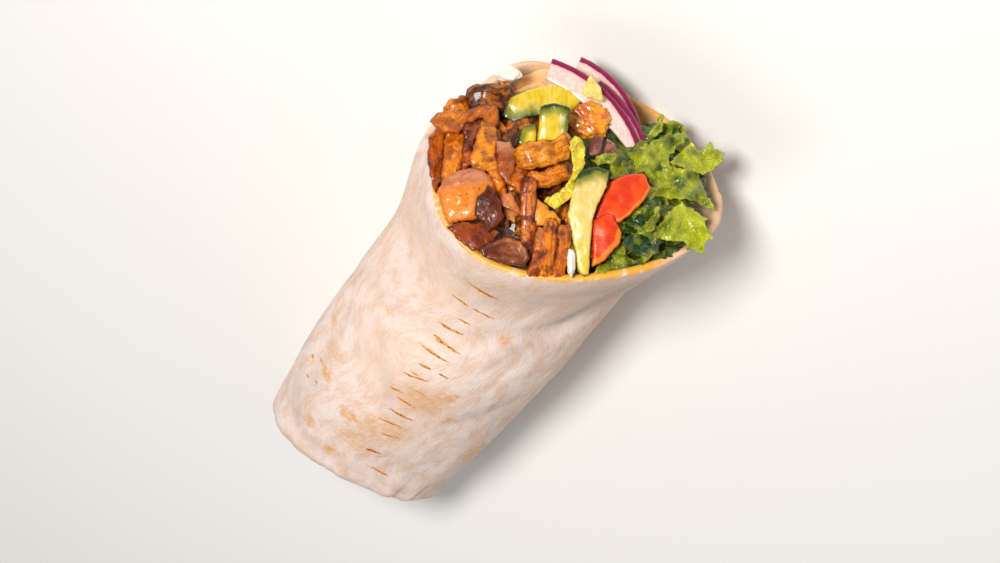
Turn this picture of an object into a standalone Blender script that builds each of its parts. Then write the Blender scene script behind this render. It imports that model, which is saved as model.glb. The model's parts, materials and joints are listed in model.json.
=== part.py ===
"""A gyro wrap that lies on its side: a rolled tortilla, open at one end, filled with strips of
meat and salad. The tube runs along X with its mouth at +X, and the origin is on the flat of the
underside. The two heaps of filling run the whole length; slices and sauces sit in them.
"""

import math
import random

import bmesh
import bpy
from mathutils import Matrix, Vector, noise

# Lengths are in millimetres, and METRES turns them into Blender's own unit.
METRES = 0.001

# The tube, at even stations from its folded end (s = 0) to its mouth (s = 1)
HALF_WIDTHS = (28.3, 30.7, 31.6, 31.9, 37.7)
SIDE_DRIFTS = (0.7, 0.9, 0.3, 0.5, -0.4)
END_FLATNESS = 0.72
MOUTH_FLATNESS = 0.92
FLATNESS_POWER = 0.7
SETTLE = 1.2
ORIGIN_X = 75.0
END_X, END_SKEW_Y, END_SKEW_Z = 3.2, -0.18, 0.22
MOUTH_X, RIM_SKEW_Y, RIM_SKEW_Z = 137.0, -0.21, -0.325
RIM_WAVES = ((2, 3.9, -1.9), (3, 0.5, 0.8))
NOTCH_DEPTH, NOTCH_AT, NOTCH_SPREAD = 14.0, math.radians(356), math.radians(24)

# The tortilla: one sheet, rolled so that each turn lies on the last. Depths are from the tube's face.
WALL_INSIDE, RIM_INSIDE = 2.8, 1.9
LAYER, LAYER_FADE, LAYER_MIDDLE = 1.7, 0.55, 0.6
SEAM_AT = math.radians(206)
SEAM_GAP = math.radians(0.7)
COLUMNS = 46
DENT_DEPTH, DENT_SIZE = 0.9, 26.0
CAP_DEPTH, CAP_POWER = 8.0, 3.0
CAVITY_FROM = 0.07
FOLD_STEP, FOLD_SOFTNESS = 1.6, 0.05
INNER_FROM, INNER_TO = math.radians(160), math.radians(335)
INNER_ROWS = ((0.70, 0.8, 2.4), (0.75, 1.6, 2.9), (0.82, 3.4, 5.0), (0.90, 3.8, 5.5), (0.965, 3.9, 5.8))
INNER_COLUMNS = 18

# Gaps between neighbours
CLEAR = 0.5
CORE_CLEAR = 0.8
DIVIDER_SHIFT = 0.018

# The middle of the mouth, and the crown of the filling over its plane
MOUTH_MIDDLE = Vector((62.0, 0.3, 34.1))
CROWN, CROWN_U, CROWN_V = 9.0, 42.0, 39.0
CORE_DROP, CORE_EDGE, CORE_NOTCH = 2.4, 0.955, 4.0
SHOULDER = ((0.97, 0.45), (0.88, 0.85), (0.62, 1.0), (0.30, 1.0))
# Where the meat ends and the salad begins, as shares of the section's half width and height
DIVIDER = ((-0.85, 2.0), (-0.42, 1.0), (-0.10, 0.45), (0.12, 0.16), (0.76, -0.33), (2.0, -1.1))

# The plane that outlines are drawn on faces a viewer who looks down into the mouth.
LOOK_DOWN, LOOK_TURN = math.radians(54), math.radians(-141.5)

# Strips of meat in the frame of the mouth: both ends, width, thickness and bend
STRIPS = (
    ((-31.5, -17.5, 3.0), (-23.5, -28.5, -2.0), 3.2, 5.0, 0.0),
    ((-27.5, -16.0, 6.0), (-21.0, -27.5, 0.0), 4.8, 6.0, 0.8),
    ((-35.0, -15.0, 2.5), (-28.0, -8.5, 7.5), 5.0, 3.0, 1.5),
    ((-32.5, -4.5, 6.5), (-23.0, 2.5, 9.0), 4.8, 5.0, 1.2),
    ((-34.5, -8.5, 3.5), (-32.0, -2.5, 4.5), 4.0, 4.0, 0.8),
    ((-23.0, -10.5, 12.0), (-27.0, 1.0, 3.0), 3.8, 5.0, 0.0),
    ((-27.5, -9.0, 7.0), (-21.5, -17.0, 6.0), 3.2, 3.5, 0.6),
    ((-21.5, -12.5, 10.0), (-16.0, -23.0, 6.5), 5.2, 4.5, 1.0),
    ((-14.5, -21.5, 8.2), (-8.0, -26.0, 5.5), 2.8, 3.5, 1.0),
    ((-10.5, -17.0, 11.5), (-1.0, -7.0, 14.5), 6.4, 5.5, 1.2),
    ((-3.5, -19.0, 10.0), (1.5, -10.0, 12.5), 4.8, 4.5, 0.8),
    ((-5.2, -21.0, 12.5), (5.0, -33.0, 1.0), 3.4, 3.4, 0.8),
    ((6.2, -26.8, 9.6), (12.0, -34.2, -3.0), 3.1, 3.6, 0.4),
    ((9.6, -25.8, 9.2), (15.2, -32.8, -3.0), 3.0, 3.4, 0.4),
    ((6.5, -30.5, 5.0), (8.8, -35.5, -3.0), 2.8, 3.0, 0.3),
    ((-20.0, -18.0, 4.5), (-12.0, -19.0, 5.0), 6.0, 4.0, 0.8),
    ((-30.0, -2.0, 3.0), (-33.5, 6.0, 0.0), 5.0, 4.0, 0.6),
)
STRIP_RINGS, STRIP_SIDES, BROAD_SIDES = 5, 6, 8
BROAD_FROM = 6.0

# Slices and soft pieces, the front one first. Each row is the depth of the piece's middle towards
# the viewer, how far it leans with the mouth (0 faces the viewer, 1 lies in the plane of the mouth),
# its thickness, and its outline as the viewer sees it.
SLICES = {
    "crisp_flake": (3.5, 0.3, 1.0, ((4.5, 24.5), (7, 20.5), (7.5, 17), (4, 18), (2, 19), (2.5, 21.5))),
    "cucumber_spear": (21.5, 0.2, 3.6, (
        (1, -1.5), (5, -0.5), (8.5, -1.5), (7.5, -6), (5, -11), (4, -14.5), (3.5, -20), (3, -28),
        (1.5, -28.5), (0, -27), (-0.5, -22), (-2.5, -13), (-1, -6.5), (0, -3.5),
    )),
    "cucumber_block": (12.2, 0.1, 4.6, ((-9, 15.5), (-5.5, 16.3), (-1, 15), (-2.5, 6.5), (-10, 6))),
    "tomato_upper": (16.6, 0.35, 4.8, (
        (9, -4), (13, -2.2), (17.5, -1.8), (19.3, -6), (17.5, -9), (13, -13.5), (10.5, -15), (4, -14.3),
        (6.5, -8.5),
    )),
    "tomato_lower": (21.0, 0.2, 4.6, (
        (4, -14.3), (7, -12.5), (9, -12.6), (11.5, -17.5), (11, -20), (7, -24.5), (3.7, -26.3),
    )),
    "cucumber_strip": (1.8, 0.2, 3.2, (
        (-19, 17), (-16.5, 18.5), (-12.5, 20.3), (-8, 21.4), (-4, 21.7), (-1, 20.4), (2, 17.5),
        (-0.5, 14.6), (-5, 14.6), (-12.5, 12.7), (-16, 11.3), (-18.5, 13),
    )),
    "cucumber_end": (9.0, 0.3, 3.0, ((-14, 10), (-10, 11.5), (-10, 5.5), (-13, 4), (-15, 6))),
    "yellow_lettuce": (18.0, 0.3, 1.0, (
        (-2, 5.5), (-0.3, 7.5), (1.5, 6.5), (2.5, 4), (2, 1.5), (2.5, 0), (-0.5, -4), (-0.5, -7),
        (-2, -9), (-5, -11.5), (-7.5, -10.5), (-8.5, -9), (-4.5, -7), (-2.4, -5), (-1, -1.5), (-1.4, 2.5),
    )),
    "cooked_onion_left": (8.7, 0.4, 2.4, ((3, 4.5), (4.5, 8), (7.5, 8), (6.5, 3), (3.5, 2.5))),
    "cooked_onion_right": (7.8, 0.4, 2.4, ((7, 3), (8.3, 7.5), (10.3, 6), (10.8, 4), (8.5, 3))),
}

# Slices of red onion: depth, lean, thickness, then their outer edge as an arc (middle, radius,
# first and last angle) and the width of the band at its start, middle and end
ONIONS = {
    "red_onion_front": (0.3, 0.25, 1.5, (-17.7, -6.2), 37.3, 71, 17, (6.0, 6.6, 3.5)),
    "red_onion_middle": (-2.3, 0.35, 1.4, (-12.2, -3.0), 32.8, 54, 16, (1.6, 3.0, 1.8)),
    "red_onion_back": (-6.5, 0.3, 1.5, (-9.2, 4.5), 28.1, 66, 10, (5.4, 4.2, 2.0)),
}
ONION_STEPS = 10

# Leaves of the salad: depth, lean, height of their waves, and outline
LEAVES = {
    "torn_long": (4.9, 0.7, 1.4, (
        (9, 1), (15.5, 4.5), (22.5, 8), (29.5, 9.5), (28, 6.5), (25, 3.5), (24.5, 0.5), (32, -1),
        (34, -6), (36.5, -11.5), (29, -8.5), (19, -8), (19.5, -5.5), (18, -1.5), (9, -3.5),
    )),
    "overhanging_upper": (0.6, 0.8, 1.2, (
        (24.5, 1), (28, 4.5), (31, 7), (33.5, 4.5), (36, 7), (37, 5), (40, 4.5), (38.5, 2), (36.5, -0.5),
        (33, -2), (28, 0),
    )),
    "overhanging_lower": (13.3, 0.55, 1.2, (
        (19, -18), (22, -14), (27, -9), (30, -11), (33.7, -13.5), (33, -15), (35, -18.5), (33, -20),
        (33, -22.5), (28, -21.5), (27.8, -19.3), (20.5, -19),
    )),
    "curled": (15.0, 0.3, 0.8, ((17, -17), (19.5, -12), (21.5, -9), (22, -11), (20.5, -15), (19, -17.5))),
    "upright": (-3.5, 0.1, 0.5, ((19.3, 9), (21.7, 11.6), (23, 15), (24, 14), (23.3, 10), (20, 7.3))),
    "dark_tip": (-7.2, 0.5, 0.3, ((25, 9), (27, 11.3), (28.4, 9.7), (27.2, 7.8))),
    "glossy": (18.4, 0.45, 1.0, (
        (11, -20), (13, -18), (17.5, -17.6), (22, -19.4), (20.5, -22.5), (17.3, -24.7), (13.5, -22),
    )),
    "under_rim": (17.2, 0.8, 0.8, (
        (3.5, -28), (6.5, -24.7), (10.3, -21.7), (15, -24.2), (19, -22.2), (28, -20), (25, -23.4),
        (15.3, -26), (9, -27.5),
    )),
    "shaded": (13.5, 0.7, 1.0, (
        (11, -15), (15.7, -11), (20, -7.7), (22.8, -8.5), (20.3, -12), (18, -16.5), (11.6, -18),
    )),
    "stalk": (17.2, 0.5, 0.3, ((13, -13.8), (14.7, -14.3), (20.7, -19), (19, -19.5), (16, -17), (13, -15.3))),
    "pale_end": (10.6, 0.6, 0.7, ((3.7, 1.5), (6.3, 3.1), (9.4, 3.4), (12, 2.6), (9.4, 0.8), (5.7, 0.2))),
}

# Broad slices of meat: depth, lean, height of their bow, and outline
MEAT_SLICES = {
    "petal": (22.0, 0.2, 1.2, (
        (-22.2, -6.4), (-20, -8.6), (-18.6, -12), (-20, -16.7), (-22.2, -17.7), (-24.4, -15.5),
        (-25.4, -11.7), (-24.4, -8.6),
    )),
    "cup": (24.2, 0.4, -2.5, (
        (-21.4, -21.3), (-19.4, -19.5), (-17, -18.8), (-14.4, -19.5), (-12.4, -21.8), (-12, -24),
        (-13, -25.8), (-17, -25.5), (-21.5, -24.5),
    )),
    "pale": (18.0, 0.3, 2.0, (
        (-35, -7.5), (-34, -5), (-31.3, -2.6), (-28.3, -1.3), (-25, -1.1), (-23, -2.4), (-19.4, -8),
        (-19.4, -10.5), (-26.5, -15), (-32.5, -15.4), (-34, -12),
    )),
    "slab": (21.3, 0.5, 0.8, (
        (-32, -17), (-27, -15.7), (-23.4, -17), (-19, -17.7), (-21.4, -20), (-26, -22.3), (-29.5, -19.7),
    )),
    "peach": (20.7, 0.4, 0.8, ((-10.3, -8.3), (-6, -12), (-3.7, -14), (-4.3, -16), (-10.3, -15.5), (-11.3, -12))),
    "mauve": (21.7, 0.4, 0.5, ((-10, -15.7), (-6.3, -16.2), (-7.8, -19.2), (-9.3, -21.3), (-10.8, -19.2))),
    "pink": (19.7, 0.4, 0.6, ((-18.6, -7), (-16.4, -7.5), (-14.3, -10.6), (-13.8, -13), (-19.4, -10.4))),
    "flesh": (13.8, 0.4, 0.8, ((-20.4, 6.3), (-16.8, 6.1), (-15.3, 3.5), (-15.3, -1.2), (-17.4, -5.4), (-20, -2))),
}
MEAT_THICKNESS, LEAF_THICKNESS = 2.2, 0.8
WAVE_PACE = 0.55
SLICE_BOW = 0.35

# Sauces: middle and half sizes on the same plane and towards the viewer
BLOBS = {
    "chilli_sauce": ((4.1, 12.2, 1.4), (5.0, 3.6, 1.8)),
    "garlic_sauce_front": ((-1.5, -25.0, 22.4), (1.1, 3.4, 2.0)),
    "garlic_sauce_back": ((-17.4, 25.2, -6.4), (2.8, 2.2, 1.8)),
}

COLOURS = {
    "tortilla": ((0.80, 0.66, 0.55), 0.75),
    "meat": ((0.52, 0.20, 0.05), 0.45),
    "lettuce": ((0.24, 0.40, 0.04), 0.45),
    "cucumber": ((0.66, 0.66, 0.28), 0.35),
    "tomato": ((0.80, 0.11, 0.03), 0.30),
    "red_onion": ((0.80, 0.55, 0.56), 0.40),
    "cooked_onion": ((0.26, 0.10, 0.06), 0.40),
    "chilli_sauce": ((0.72, 0.24, 0.03), 0.25),
    "garlic_sauce": ((0.86, 0.80, 0.74), 0.35),
    "yellow_lettuce": ((0.72, 0.58, 0.06), 0.45),
    "crisp_flake": ((0.72, 0.60, 0.20), 0.60),
}


def clear_scene():
    for obj in list(bpy.data.objects):
        bpy.data.objects.remove(obj)


def collection(name):
    made = bpy.data.collections.new(name)
    bpy.context.scene.collection.children.link(made)
    return made


def material(name):
    """The finish whose name the object's name starts with."""
    finish = next(word for word in COLOURS if name.startswith(word))
    made = bpy.data.materials.get(finish)
    if made:
        return made
    colour, roughness = COLOURS[finish]
    made = bpy.data.materials.new(finish)
    made.use_nodes = True
    shader = made.node_tree.nodes["Principled BSDF"]
    shader.inputs["Base Color"].default_value = (*colour, 1.0)
    shader.inputs["Roughness"].default_value = roughness
    return made


def add_object(name, bm, group, finish):
    """Turns a bmesh in millimetres into an object in metres with its faces pointing out."""
    bmesh.ops.recalc_face_normals(bm, faces=bm.faces)
    bmesh.ops.scale(bm, vec=(METRES,) * 3, verts=bm.verts)
    mesh = bpy.data.meshes.new(name)
    bm.to_mesh(mesh)
    bm.free()
    mesh.materials.append(material(finish))
    mesh.shade_smooth()
    mesh.set_sharp_from_angle(angle=math.radians(35))
    obj = bpy.data.objects.new(name, mesh)
    group.objects.link(obj)
    return obj


def add_tool(name, bm, group, finish="tortilla"):
    """A shape that only cuts or joins."""
    obj = add_object(name, bm, group, finish)
    obj.hide_render = True
    obj.display_type = "WIRE"


def along(values, s):
    """A smooth curve through evenly spaced values, read at s from 0 to 1."""
    place = min(max(s, 0.0), 1.0) * (len(values) - 1)
    i = min(int(place), len(values) - 2)
    t = place - i
    before = values[max(i - 1, 0)]
    a, b = values[i], values[i + 1]
    after = values[min(i + 2, len(values) - 1)]
    slope_a, slope_b = (b - before) / 2, (after - a) / 2
    bend = 2 * a - 2 * b + slope_a + slope_b
    return a + slope_a * t + (b - a - slope_a - bend) * t**2 + bend * t**3


def section(s):
    """Side drift, height of the middle, half width and half height of the tube at s."""
    half_width = along(HALF_WIDTHS, s)
    flatness = END_FLATNESS + (MOUTH_FLATNESS - END_FLATNESS) * max(s, 0.0) ** FLATNESS_POWER
    half_height = half_width * flatness
    return along(SIDE_DRIFTS, s), half_height - SETTLE, half_width, half_height


def rim_x(phi, y, z, notch=NOTCH_DEPTH):
    x = MOUTH_X + RIM_SKEW_Y * y + RIM_SKEW_Z * z
    for count, cosine, sine in RIM_WAVES:
        x += cosine * math.cos(count * phi) + sine * math.sin(count * phi)
    off = (phi - NOTCH_AT + math.pi) % (2 * math.pi) - math.pi
    return x - notch * math.exp(-((off / NOTCH_SPREAD) ** 4))


def wall_point(phi, s, inset, floor=None, notch=NOTCH_DEPTH):
    """A point of the tube's wall, inset from its face. phi runs from +Y over the top."""
    drift, middle, half_width, half_height = section(s)
    y = (half_width - inset) * math.cos(phi)
    z = (half_height - inset) * math.sin(phi)
    end = END_X + END_SKEW_Y * y + END_SKEW_Z * z
    x = end * (1 - s) + rim_x(phi, y, z, notch) * s
    lowest = inset if floor is None else floor
    return Vector((x - ORIGIN_X, drift + y, max(middle + z, lowest)))


def outer_inset(turn, s):
    """How far the outermost layer lies below the tube's face: each turn lies on the last."""
    return LAYER * (LAYER_MIDDLE - turn) * (1 - LAYER_FADE * s)


def outer_point(phi, turn, s, grow):
    """A point of the tortilla's outer face, which is uneven. The underside stays flat."""
    point = wall_point(phi, s, outer_inset(turn, s) - grow, floor=0.0)
    flat = point.z == 0.0
    drift, middle, _, _ = section(s)
    out = Vector((0.0, point.y - drift, point.z - middle)).normalized()
    point += out * DENT_DEPTH * noise.noise(point / DENT_SIZE)
    point.z = -grow if flat else max(point.z, -grow)
    return point


def mouth_frame():
    """Origin, across (u), towards the back (v) and outwards (n) of the plane of the mouth."""
    n = Vector((1.0, -RIM_SKEW_Y, -RIM_SKEW_Z)).normalized()
    u = Vector((0.0, -1.0, 0.0))
    u = (u - n * u.dot(n)).normalized()
    return MOUTH_MIDDLE, u, n.cross(u), n


def front_frame():
    """Right, up and towards the viewer, for one who looks down into the mouth."""
    towards = Vector((math.cos(LOOK_DOWN), 0.0, math.sin(LOOK_DOWN)))
    side = Vector((0.0, 1.0, 0.0))
    above = side.cross(-towards)
    right = side * math.cos(LOOK_TURN) + above * math.sin(LOOK_TURN)
    return right, above * math.cos(LOOK_TURN) - side * math.sin(LOOK_TURN), towards


def from_mouth(place):
    middle, u, v, n = mouth_frame()
    return middle + u * place[0] + v * place[1] + n * place[2]


def from_front(place):
    right, up, towards = front_frame()
    return MOUTH_MIDDLE + right * place[0] + up * place[1] + towards * place[2]


def mouth_slopes():
    """How the plane of the mouth falls away from the viewer, to the right and upwards."""
    n = mouth_frame()[3]
    right, up, towards = front_frame()
    return -n.dot(right) / n.dot(towards), -n.dot(up) / n.dot(towards)


def crown_height(u, v):
    return CROWN * (1 - (u / CROWN_U) ** 2 - (v / CROWN_V) ** 2)


def loft(rings):
    """A closed skin over rings of equal length, with a fan over the first and the last."""
    bm = bmesh.new()
    made = [[bm.verts.new(point) for point in ring] for ring in rings]
    count = len(rings[0])
    for low, high in zip(made, made[1:]):
        for i in range(count):
            j = (i + 1) % count
            bm.faces.new((low[i], low[j], high[j], high[i]))
    for ring, points in ((made[0], rings[0]), (made[-1], rings[-1])):
        pole = bm.verts.new(sum(points, Vector()) / count)
        for i in range(count):
            bm.faces.new((ring[i], ring[(i + 1) % count], pole))
    return bm


def seam_angles():
    """Angles round the tube, each with its share of the turn, from the loose edge and back to it."""
    span = 2 * math.pi - 2 * SEAM_GAP
    shares = [i / (COLUMNS - 1) for i in range(COLUMNS)]
    return [(SEAM_AT + SEAM_GAP + span * share, share) for share in shares]


def cap_ring(share, grow):
    """A ring of the folded end, with the edge of the flap that is tucked over it."""
    drift, middle, half_width, half_height = section(0.0)
    bulge = CAP_DEPTH * (1 - share**CAP_POWER) ** (1 / CAP_POWER) + grow
    points = []
    for phi, turn in seam_angles():
        edge = outer_point(phi, turn, 0.0, grow)
        y = (edge.y - drift) * share
        z = (edge.z - middle) * share
        fold_line = z / half_height - 0.18 + 0.35 * (y / half_width) ** 2
        fold = FOLD_STEP / (1 + math.exp(-fold_line / FOLD_SOFTNESS)) * (1 - share**4)
        points.append(Vector((edge.x - bulge - fold, drift + y, middle + z)))
    return points


def tortilla_shell(grow=0.0):
    """Rings of the rolled tube: folded end, outer wall, rim, inner wall and inside of the end."""
    angles = seam_angles()
    rings = [cap_ring(share, grow) for share in (0.18, 0.38, 0.58, 0.76, 0.90, 0.98)]
    for s in (0.0, 0.06, 0.15, 0.25, 0.36, 0.47, 0.58, 0.69, 0.78, 0.86, 0.93, 1.0):
        rings.append([outer_point(phi, turn, s, grow) for phi, turn in angles])
    rim = []
    for phi, turn in angles:
        middle = (outer_inset(turn, 1.0) + RIM_INSIDE) / 2
        rim.append(wall_point(phi, 1.0, middle) + Vector((0.5 + grow, 0.0, 0.0)))
    rings.append(rim)
    for s in (1.0, 0.95, 0.88, 0.80, 0.70, 0.58, 0.45, 0.32, 0.19, CAVITY_FROM):
        inset = along((WALL_INSIDE, WALL_INSIDE, WALL_INSIDE, WALL_INSIDE, RIM_INSIDE), s)
        rings.append([wall_point(phi, s, inset + grow) for phi, _ in angles])
    drift, middle, _, _ = section(CAVITY_FROM)
    bottom = []
    for point in rings[-1]:
        centre = Vector((point.x, drift, middle))
        bottom.append(point.lerp(centre, 0.5) - Vector((0.8, 0.0, 0.0)))
    rings.append(bottom)
    return loft(rings)


def inner_turn(grow=0.0):
    """The first turn of the sheet, which stands off the wall inside the mouth."""
    rings = []
    start = INNER_FROM - 0.02 * grow
    end = INNER_TO + 0.02 * grow
    for i in range(INNER_COLUMNS):
        phi = start + (end - start) * i / (INNER_COLUMNS - 1)
        dip = 1 + 0.010 * math.sin(5 * phi)
        rows = list(INNER_ROWS)
        top = rows[-1]
        rows[-1] = (top[0] + 0.008 * grow, top[1], top[2])
        outer = [wall_point(phi, s * dip, a - grow) for s, a, _ in rows]
        inner = [wall_point(phi, s * dip, b + grow) for s, _, b in reversed(rows)]
        rings.append(outer + inner)
    return loft(rings)


def core():
    """The filling without its loose pieces. It swells in the mouth and stands up in the notch."""
    angles = [2 * math.pi * i / 32 for i in range(32)]
    inset = WALL_INSIDE + CORE_CLEAR
    start = CAVITY_FROM + 0.012
    drift, middle, _, _ = section(start)
    rings = []
    for share in (0.35, 0.75):
        ring = []
        for phi in angles:
            edge = wall_point(phi, start, inset)
            ring.append(Vector((edge.x, drift + (edge.y - drift) * share, middle + (edge.z - middle) * share)))
        rings.append(ring)
    for s in (start, 0.25, 0.42, 0.58, 0.72, 0.83, CORE_EDGE):
        rings.append([wall_point(phi, s, inset, notch=CORE_NOTCH) for phi in angles])
    centre, u, v, n = mouth_frame()
    edges = [edge - centre for edge in rings[-1]]
    for share, rise in SHOULDER:
        ring = []
        for edge in edges:
            across, back, low = edge.dot(u) * share, edge.dot(v) * share, edge.dot(n)
            height = crown_height(across, back) - CORE_DROP
            height += 1.2 * noise.noise(Vector((across, back, 0.0)) / 9.0)
            ring.append(from_mouth((across, back, low + (height - low) * rise)))
        rings.append(ring)
    return loft(rings)


def half_space(shift):
    """The side of the tube that holds the meat, as one long block with a bent face."""
    outline = [(y + shift, z + shift) for y, z in DIVIDER] + [(2.2, 2.4)]
    rings = []
    for s in (-0.15, 0.1, 0.35, 0.6, 0.85, 1.0, 1.35):
        drift, middle, half_width, half_height = section(s)
        x = END_X + (MOUTH_X - END_X) * s - ORIGIN_X
        rings.append([Vector((x, drift + y * half_width, middle + z * half_height)) for y, z in outline])
    return loft(rings)


def frame_between(start, end, facing):
    """Matrix at start with X towards end and Z as near to facing as it can be, and the distance."""
    x = end - start
    length = x.length
    x.normalize()
    z = (facing - x * facing.dot(x)).normalized()
    turn = Matrix((x, z.cross(x), z)).transposed().to_4x4()
    return Matrix.Translation(start) @ turn, length


def bar(start, end, width, thickness, bend, seed):
    """A cooked strip: a flattened, uneven bar that arches towards the viewer."""
    draw = random.Random(seed)
    place, length = frame_between(start, end, front_frame()[2])
    sides = BROAD_SIDES if width > BROAD_FROM else STRIP_SIDES
    rings = []
    for i in range(STRIP_RINGS):
        t = i / (STRIP_RINGS - 1)
        fat = 0.68 + 0.32 * math.sin(math.pi * (0.1 + 0.8 * t)) ** 0.5
        half = width / 2 * fat * draw.uniform(0.86, 1.12)
        thick = thickness / 2 * fat * draw.uniform(0.85, 1.15)
        lift = bend * math.sin(math.pi * t) - thickness / 2
        twist = draw.uniform(-0.12, 0.12)
        ring = []
        for k in range(sides):
            angle = 2 * math.pi * (k + 0.5) / sides
            y = half * math.copysign(abs(math.cos(angle)) ** 0.7, math.cos(angle))
            z = thick * math.copysign(abs(math.sin(angle)) ** 0.7, math.sin(angle))
            ring.append(place @ Vector((length * t, y, lift + z + twist * y)))
        rings.append(ring)
    return loft(rings)


def stalk(place):
    """A post from under a slice or leaf down into the core, where a viewer can't see it."""
    middle, u, v, n = mouth_frame()
    top = place - n * 0.6
    across, back, height = ((top - middle).dot(axis) for axis in (u, v, n))
    length = max(height - crown_height(across, back) + CORE_DROP, 0.0) + 5.0
    return bar(top, top - n * length, 3.6, 3.6, 0.0, 1)


def middle_of(outline):
    return sum((Vector(point) for point in outline), Vector((0.0, 0.0))) / len(outline)


def sheet(outline, depth, lean, thickness, relief):
    """A slice or leaf: its outline is filled, split, moved by the relief and given its thickness.

    Both faces are split into the same triangles, so the piece is equally thick all over.
    """
    slope_x, slope_y = mouth_slopes()
    middle = middle_of(outline)
    bm = bmesh.new()
    bm.faces.new([bm.verts.new((x, y, 0.0)) for x, y in outline])
    bmesh.ops.triangulate(bm, faces=bm.faces, ngon_method="BEAUTY")
    bmesh.ops.subdivide_edges(bm, edges=bm.edges, cuts=1, use_grid_fill=True)
    bmesh.ops.triangulate(bm, faces=bm.faces)
    for vert in bm.verts:
        x, y = vert.co.x - middle.x, vert.co.y - middle.y
        vert.co.z = depth + lean * (slope_x * x + slope_y * y) + relief(x, y)
    grown = bmesh.ops.extrude_face_region(bm, geom=bm.faces[:])["geom"]
    back = [part for part in grown if isinstance(part, bmesh.types.BMVert)]
    bmesh.ops.translate(bm, vec=(0.0, 0.0, -thickness), verts=back)
    for vert in bm.verts:
        vert.co = from_front(vert.co)
    return bm


def arc_band(middle, radius, first, last, widths):
    """Outline of part of a ring, with its width at the start, the middle and the end."""
    outer, inner = [], []
    for i in range(ONION_STEPS):
        t = i / (ONION_STEPS - 1)
        angle = math.radians(first + (last - first) * t)
        width = widths[0] * (1 - t) ** 2 + (2 * widths[1] - (widths[0] + widths[2]) / 2) * 2 * t * (1 - t)
        width += widths[2] * t**2
        for points, reach in ((outer, radius), (inner, radius - width)):
            points.append((middle[0] + reach * math.cos(angle), middle[1] + reach * math.sin(angle)))
    return outer + inner[::-1]


def waves(height, seed):
    """Relief of a ruffled leaf: waves that grow towards its edge."""
    draw = random.Random(seed)
    turn, phase = draw.uniform(0, math.pi), draw.uniform(0, 2 * math.pi)

    def relief(x, y):
        away = x * math.cos(turn) + y * math.sin(turn)
        aside = y * math.cos(turn) - x * math.sin(turn)
        grow = min(1.0, math.hypot(x, y) / 8.0)
        return height * grow * math.sin(WAVE_PACE * away + 0.3 * aside + phase)

    return relief


def bowed(height):
    """Relief of a cooked slice: its middle is higher or lower than its edge."""
    return lambda x, y: height * (1 - (x * x + y * y) / 50.0)


def blob(place, sizes, seed):
    """A spoonful of sauce: a ball, flattened and made uneven."""
    bm = bmesh.new()
    bmesh.ops.create_uvsphere(bm, u_segments=12, v_segments=7, radius=1.0)
    for vert in bm.verts:
        point = vert.co.copy()
        swell = 1 + 0.22 * noise.noise(point * 1.6 + Vector((seed, 0.0, 0.0)))
        vert.co = from_front([at + swell * size * part for at, size, part in zip(place, sizes, point)])
    return bm


def baked(obj):
    """Replaces the object's mesh by what its modifiers make of it."""
    graph = bpy.context.evaluated_depsgraph_get()
    mesh = bpy.data.meshes.new_from_object(obj.evaluated_get(graph))
    obj.modifiers.clear()
    obj.data = mesh
    return obj


def boolean(obj, operation, group, solver="EXACT"):
    cut = obj.modifiers.new(operation.lower(), "BOOLEAN")
    cut.operation = operation
    cut.operand_type = "COLLECTION"
    cut.collection = group
    cut.solver = solver
    bpy.context.view_layer.update()
    return baked(obj)


def drop_group(group):
    for obj in list(group.objects):
        bpy.data.objects.remove(obj)
    bpy.data.collections.remove(group)


def largest_body(obj):
    """Drops the loose scraps that cutting leaves, and keeps the body with the most vertices."""
    bm = bmesh.new()
    bm.from_mesh(obj.data)
    left = set(bm.verts)
    bodies = []
    while left:
        start = left.pop()
        body, edge = {start}, [start]
        while edge:
            vert = edge.pop()
            near = {e.other_vert(vert) for e in vert.link_edges} & left
            left -= near
            body |= near
            edge.extend(near)
        bodies.append(body)
    keep = max(bodies, key=len)
    bmesh.ops.delete(bm, geom=[vert for vert in bm.verts if vert not in keep], context="VERTS")
    bm.to_mesh(obj.data)
    bm.free()
    return obj


def add_gap(obj, group):
    """A copy that stands proud of the piece by the gap that its neighbours keep."""
    made = bpy.data.objects.new(f"{obj.name}_gap", obj.data.copy())
    group.objects.link(made)
    made.hide_render = True
    made.display_type = "WIRE"
    swell = made.modifiers.new("gap", "DISPLACE")
    swell.strength = CLEAR * METRES
    swell.mid_level = 0.0
    baked(made)


def add_topping(name, bm, group, gaps):
    """A separate piece. The pieces already in place are in front of it, so it gives way to them."""
    obj = add_object(name, bm, group, name)
    boolean(obj, "DIFFERENCE", gaps)
    largest_body(obj)
    add_gap(obj, gaps)


def make_toppings(group, gaps):
    """The slices, soft pieces and sauces, each its own node, from the front one to the back one."""
    for seed, (name, (depth, lean, thickness, outline)) in enumerate(SLICES.items()):
        relief = waves(0.8, seed) if name == "yellow_lettuce" else bowed(SLICE_BOW)
        add_topping(name, sheet(outline, depth, lean, thickness, relief), group, gaps)
    for name, (depth, lean, thickness, *arc) in ONIONS.items():
        add_topping(name, sheet(arc_band(*arc), depth, lean, thickness, bowed(SLICE_BOW)), group, gaps)
    for seed, (name, (place, sizes)) in enumerate(BLOBS.items()):
        add_topping(name, blob(place, sizes, seed), group, gaps)


def meat_pieces():
    pieces = []
    for seed, (start, end, width, thickness, bend) in enumerate(STRIPS):
        pieces.append(bar(from_mouth(start), from_mouth(end), width, thickness, bend, seed))
    for depth, lean, height, outline in MEAT_SLICES.values():
        pieces.append(sheet(outline, depth, lean, MEAT_THICKNESS, bowed(height)))
        pieces.append(stalk(from_front((*middle_of(outline), depth))))
    return pieces


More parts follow.
